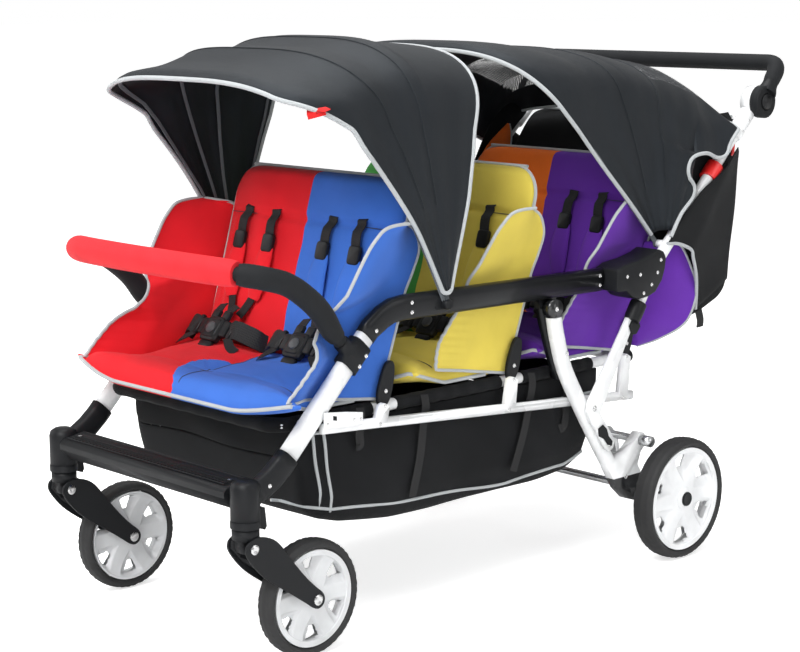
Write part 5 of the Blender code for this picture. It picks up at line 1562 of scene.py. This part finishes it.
# Outlines as (y, z), but the fork's arm as (along, across) the line from its pivot to the axle
FORK_OUTLINE = [(-0.0185, 0.0), (-0.0145, -0.0130), (0.0, -0.0205), (0.030, -0.0265), (0.060, -0.0275),
                (0.100, -0.0240), (0.140, -0.0200), (0.170, -0.0175), (0.1875, -0.0165),
                (0.2000, -0.0115), (0.2050, 0.0), (0.2000, 0.0115), (0.1875, 0.0165), (0.170, 0.0165),
                (0.140, 0.0185), (0.100, 0.0245), (0.060, 0.0330), (0.034, 0.0360), (0.012, 0.0310),
                (-0.008, 0.0190)]
LATCH = [(0.158, 0.300), (0.172, 0.306), (0.184, 0.296), (0.190, 0.280), (0.202, 0.268), (0.200, 0.258),
         (0.188, 0.262), (0.176, 0.276), (0.160, 0.284)]
HOOK = [(0.248, 0.498), (0.258, 0.512), (0.276, 0.508), (0.282, 0.494), (0.270, 0.480), (0.256, 0.480)]
CLIP_RECESS = [(-0.283, 0.590), (-0.243, 0.590), (-0.240, 0.594), (-0.240, 0.609), (-0.243, 0.613),
               (-0.283, 0.613), (-0.286, 0.609), (-0.286, 0.594)]
CORNER = [(-0.5560, 0.4400), (-0.5000, 0.4330), (-0.4640, 0.4270), (-0.4640, 0.4040), (-0.5080, 0.4060),
          (-0.5560, 0.4110)]
CORNER_HOLE = [(-0.536, 0.4315), (-0.527, 0.4295), (-0.527, 0.4210), (-0.536, 0.4230)]
# Turned profiles as (height, radius)
COLLAR = [(0, 0.0128), (0, 0.0168), (0.003, 0.0175), (0.030, 0.0175), (0.036, 0.0168), (0.0405, 0.0160),
          (0.0405, 0)]
CLIP_BOSS = [(0, 0), (0, 0.0100), (0.0105, 0.0100), (0.0125, 0.0085), (0.0125, 0.004), (0.0115, 0)]
RAIL_CAP = [(-0.010, 0.0105), (-0.010, 0.0135), (0.014, 0.0135), (0.018, 0.010), (0.018, 0)]
HUB_RING = [(0, 0.0175), (0, 0.0330), (0.0015, 0.0320), (0.0018, 0.0190), (0, 0.0175)]
FOOT_SCREW = [(-0.001, 0), (-0.001, 0.0038), (0.0008, 0.0038), (0.0014, 0.002), (0.0014, 0)]
STEM_RING = [(0, 0), (0, 0.0268), (0.010, 0.0268), (0.0125, 0.0262), (0.0125, 0)]
TUBE_COLLAR = [(0, 0), (0, 0.0160), (0.002, 0.0172), (0.066, 0.0172), (0.070, 0.0160), (0.071, 0.0130),
               (0.071, 0)]
HUB_NECK = [(0, 0), (0, 0.0215), (0.006, 0.0205), (0.016, 0.0170), (0.024, 0.0162), (0.030, 0.0162),
            (0.030, 0)]
# Paths of the foam and the rail covers
SLEEVE_PATH = [(0.2360, -0.7015, 0.6938), (0.1500, -0.7270, 0.6980), (0.0, -0.7390, 0.7000)]
ARM_PATH = [(0.2760, -0.5110, 0.5661), (0.2760, -0.5230, 0.5800), (0.2760, -0.5560, 0.6240),
            (0.2740, -0.6150, 0.6680), (0.2660, -0.6680, 0.6860), (0.2380, -0.7010, 0.6935)]
# Handle foam: how far up the handle's arm, and how far in from its hub
HANDLE_PATH = [(0.044, 0), (0.060, 0), (0.078, 0), (0.092, 0.008), (0.0975, 0.024), (0.098, 0.050),
               (0.098, 0.16), (0.098, 0.3316)]
HANDLE_ANGLE = math.radians(55)
RAIL_PATH = [(0.247, -0.562, RAIL_Z), (0.247, -0.578, RAIL_Z), (0.2445, -0.597, RAIL_Z),
             (0.237, -0.611, RAIL_Z), (0.223, -0.6215, RAIL_Z), (0.203, -0.625, RAIL_Z),
             (0.1, -0.625, RAIL_Z), (0, -0.625, RAIL_Z)]
RAIL_COVERS = ((-0.560, -0.408), (-0.345, -0.066), (-0.003, 0.205))


def side_rivets(name, s, spots, body, r, h):
    """Rivets that face outwards on one side, at spots given for the near side."""
    rivets(name, [((x * s, y, z), (s, 0, 0)) for x, y, z in spots], body, r, h)


def one_turned(name, centre, axis, profile, seg, mat, body):
    """Piece turned about an axis."""
    many(name, [turned(centre, axis, profile, seg)], mat, body)


def all_rivets(tag, s):
    """Screws and rivets of one side."""
    side_rivets("screws_frame_" + tag, s, FRAME_SCREWS, "chassis", 0.0040, 0.0020)
    side_rivets("screws_leg_" + tag, s, LEG_SCREWS, "rear_legs", 0.0048, 0.0022)
    side_rivets("rivets_brace_" + tag, s, BRACE_RIVETS, "braces", 0.0060, 0.0025)
    links = []
    for row, y in zip(ROWS, ROW_Y):
        side_rivets("rivets_back_%d_%s" % (row, tag), s, [(0.2680, y, PIVOT_Z)], "back_%d" % row, 0.0042,
                    0.0020)
        links += [(0.2803, y - 0.014, 0.4260), (0.2803, y - 0.026, 0.399 - (y + 0.447) * 0.0764)]
    side_rivets("rivets_link_" + tag, s, links, "link_rails", 0.0036, 0.0018)


def fork_trims(tag, s):
    """Bolts of the fork and the plates on both faces of its arm."""
    bolts = []
    for spot, head, outer, inner in FORK_BOLTS:
        shank = [(-0.002, 0), (-0.002, head), (0.002, head)]
        bolts.append(turned((0.3000 * s, *spot), (s, 0, 0), shank + outer, 20))
        bolts.append(turned((0.2480 * s, *spot), (-s, 0, 0), shank + inner, 20))
    many("fork_bolts_" + tag, bolts, "rivet", "fork_" + tag)
    pivot = np.array(FORK_PIVOT)
    d = unit(np.array(FRONT_AXLE) - pivot)
    n = np.array([-d[1], d[0]])
    arm = curve([pivot + d * a + n * h for a, h in FORK_OUTLINE], 3, True)
    for side, x0, x1 in (("outer", 0.2962, 0.3006), ("inner", 0.2474, 0.2518)):
        plate_piece("fork_plate_%s_%s" % (side, tag), arm, x0 * s, x1 * s, "mould", "fork_" + tag)


def trims():
    """Rivets, bolts, collars, plates, caps and clips of both sides."""
    for tag, s in (("left", 1.0), ("right", -1.0)):
        all_rivets(tag, s)
        fork_trims(tag, s)
        up = np.array([0, 0.5505, 0.8349])
        end = np.array([0.3155 * s, 0.2791, 0.5434]) - up * 0.0005
        one_turned("brace_collar_" + tag, end, -up, COLLAR, 28, "mould", "braces")
        plate_piece("brace_latch_" + tag, LATCH, 0.3145 * s, 0.3185 * s, "mould", "braces")
        plate_piece("brace_hook_" + tag, HOOK, 0.3145 * s, 0.3195 * s, "mould", "braces")
        plate_piece("clip_plate_" + tag, CLIP_RECESS, 0.2966 * s, 0.2978 * s, "mould", "chassis", 0.0006)
        one_turned("clip_boss_" + tag, (0.2975 * s, *CLIP_F), (s, 0, 0), CLIP_BOSS, 24, "mould", "chassis")
        one_turned("rail_cap_" + tag, (0.247 * s, 0.318, RAIL_Z), (0, 1, 0), RAIL_CAP, 24, "mould", "chassis")
        one_turned("hub_ring_" + tag, (0.3405 * s, *HANDLE_HUB[1:]), (s, 0, 0), HUB_RING, 40, "mould",
                   "handle")
        one_turned("footrest_screws_" + tag, (0.225 * s, -0.715, 0.336), (0, -0.12, 0.99), FOOT_SCREW, 14,
                   "rivet", "chassis")
        one_turned("stem_ring_" + tag, (0.274 * s, -0.721, 0.2625), (0, 0, 1), STEM_RING, 36, "mould",
                   "chassis")


def footrest_ribs():
    """Grip ribs along the top of the footrest."""
    x = np.linspace(-0.236, 0.236, 24)
    ribs = [np.column_stack([x, np.full(24, -0.7355 + 0.0075 * i), np.full(24, 0.3342 + 0.001 * math.sin(i))])
            for i in range(6)]
    pipes("footrest_ribs", ribs, 0.0013, "mould", "chassis", 6)


def bumper_foam():
    """Foam of the bumper bar: the red sleeve, rounder than its solid, and the two arms,
    all narrowing at their ends by a high power."""
    path = resample(curve(both_halves(SLEEVE_PATH), 10), 80)
    r = 0.0245 - 0.0030 * (np.abs(np.linspace(-1, 1, 80)) ** 22)
    obj = pipe("bumper_foam_sleeve", path, r, "foam_red", "bumper", 26)
    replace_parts(obj, "bumper_sleeve")
    t = np.linspace(0, 1, 70)
    r = 0.0208 - 0.0045 * (1 - t) ** 14 - 0.0030 * t ** 40 + 0.00022 * np.sin(t * 190)
    for tag, s in SIDE:
        pipe("bumper_foam_arm_" + tag, resample(curve(mirrored(ARM_PATH, s), 8), 70), r, "foam", "bumper", 24)


def handle_trims():
    """Foam of the handle, and the collars and necks by its hubs."""
    arm = np.array([0, math.cos(HANDLE_ANGLE), math.sin(HANDLE_ANGLE)])
    half = [HANDLE_HUB + arm * up - [inward, 0, 0] for up, inward in HANDLE_PATH]
    t = np.linspace(-1, 1, 200)
    r = 0.0178 - 0.0030 * np.abs(t) ** 60 + 0.0001 * np.sin(t * 260)
    pipe("handle_foam", resample(curve(both_halves(half), 8), 200), r, "foam", "handle", 24)
    for tag, s in SIDE:
        top = np.array([0.3097 * s, *HANDLE_HUB[1:]])
        down = -unit(np.array([-0.0058 * s, 0.333, 0.3198]))
        one_turned("tube_collar_" + tag, top + down * 0.034, down, TUBE_COLLAR, 32, "white", "chassis")
        pins = [(tuple(top + down * k + [0.0172 * s, 0, 0]), (s, 0, 0)) for k in (0.056, 0.086)]
        rivets("tube_collar_pins_" + tag, pins, "chassis", 0.0030, 0.0012)
        one_turned("hub_neck_" + tag, mirrored(HANDLE_HUB, s) + arm * 0.022, arm, HUB_NECK, 28, "mould",
                   "handle")


def rail_trims():
    """Cloth covers of the seat rail, and the brackets at its front corners."""
    path = resample(curve(both_halves(RAIL_PATH), 6), 160)
    pipe("rail_cover_front", path, 0.0138 + 0.0005 * np.sin(np.linspace(0, 60, 160)), "bag", "chassis", 16)
    r = 0.0132 + 0.0005 * np.sin(np.linspace(0, 40, 60))
    for tag, s in SIDE:
        covers = []
        for a, b in RAIL_COVERS:
            line = np.column_stack([np.full(60, 0.247 * s), np.linspace(a, b, 60), np.full(60, RAIL_Z)])
            covers.append(pipe_grid(line, r, 16))
        many("rail_cover_" + tag, covers, "bag", "chassis")
        plate_piece("corner_bracket_" + tag, CORNER, 0.2905 * s, 0.2935 * s, "white", "chassis")
        plate_piece("corner_bracket_hole_" + tag, CORNER_HOLE, 0.2925 * s, 0.2942 * s, "mould", "chassis")
        side_rivets("corner_bracket_rivets_" + tag, s, BRACKET_RIVETS, "chassis", 0.0028, 0.0014)


for build in (seat_backs, seat_bases, wings, gussets, harness, front_canopy, rear_canopy, bag, basket,
              wheels, trims, footrest_ribs, bumper_foam, handle_trims, rail_trims):
    build()


# Stage
# Area lights: name, place, size in metres, power in watts
LIGHTS = (("key", (1.2, -3.2, 3.9), 2.2, 190.0), ("fill", (4.2, 1.2, 2.4), 2.6, 40.0),
          ("top", (-0.4, 0.2, 4.2), 2.6, 120.0), ("left", (-3.8, -2.6, 2.2), 2.6, 40.0),
          ("front", (2.6, -3.0, 1.1), 2.0, 26.0))
AIM = Vector((0, 0, 0.5))
FLOOR_HALF = 60.0
FLOOR_LEVEL = -0.0004
CAMERA_PLACE = (2.7023, -2.6896 + Y0, 1.1609)
CAMERA_TURN = math.radians(46.1184)
CAMERA_PITCH = math.radians(9.997)
SENSOR = 36.0
FOCAL_PIXELS = 1884.335
PHOTO_WIDTH = 800.0


def linked(obj):
    """The object, put in the scene."""
    bpy.context.scene.collection.objects.link(obj)
    return obj


def backdrop():
    """Pale floor that reaches past the horizon of the picture. Seen by the camera it
    glows a little, so it is as pale as the world behind it."""
    k = FLOOR_HALF
    corners = [(-k, -k, FLOOR_LEVEL), (k, -k, FLOOR_LEVEL), (k, k, FLOOR_LEVEL), (-k, k, FLOOR_LEVEL)]
    mesh = bpy.data.meshes.new("floor")
    mesh.from_pydata(corners, [], [(0, 1, 2, 3)])
    floor = linked(bpy.data.objects.new("floor", mesh))
    mat, tree, shader = nodes_of("floor white")
    shader.inputs["Base Color"].default_value = (0.90, 0.90, 0.90, 1)
    shader.inputs["Roughness"].default_value = 0.9
    shader.inputs["Specular IOR Level"].default_value = 0.1
    path = tree.nodes.new("ShaderNodeLightPath")
    shader.inputs["Emission Color"].default_value = (1, 1, 1, 1)
    tree.links.new(maths(tree, "MULTIPLY", path.outputs["Is Camera Ray"], 0.62),
                   shader.inputs["Emission Strength"])
    mesh.materials.append(mat)


def lights():
    """White world, brighter for the camera than for the object, and soft boxes aimed at
    the middle of the object."""
    world = bpy.data.worlds.new("studio")
    bpy.context.scene.world = world
    world.use_nodes = True
    tree = world.node_tree
    background = tree.nodes["Background"]
    path = tree.nodes.new("ShaderNodeLightPath")
    seen = maths(tree, "MAXIMUM", path.outputs["Is Camera Ray"], path.outputs["Is Transmission Ray"])
    background.inputs["Color"].default_value = (1, 1, 1, 1)
    strength = maths(tree, "ADD", maths(tree, "MULTIPLY", seen, 0.55), 0.45)
    tree.links.new(strength, background.inputs["Strength"])
    for name, place, size, power in LIGHTS:
        data = bpy.data.lights.new(name, "AREA")
        data.shape = "SQUARE"
        data.size = size
        data.energy = power
        obj = linked(bpy.data.objects.new(name, data))
        obj.location = place
        obj.rotation_euler = (AIM - Vector(place)).to_track_quat("-Z", "Y").to_euler()


def camera():
    """Camera at the photograph's angle."""
    data = bpy.data.cameras.new("camera")
    data.sensor_width = SENSOR
    data.lens = FOCAL_PIXELS * SENSOR / PHOTO_WIDTH
    cam = linked(bpy.data.objects.new("camera", data))
    cam.location = CAMERA_PLACE
    level = math.cos(CAMERA_PITCH)
    way = Vector((-math.sin(CAMERA_TURN) * level, math.cos(CAMERA_TURN) * level, -math.sin(CAMERA_PITCH)))
    cam.rotation_euler = way.to_track_quat("-Z", "Y").to_euler()
    bpy.context.scene.camera = cam


backdrop()
lights()
camera()
bpy.context.scene.view_settings.view_transform = "Standard"
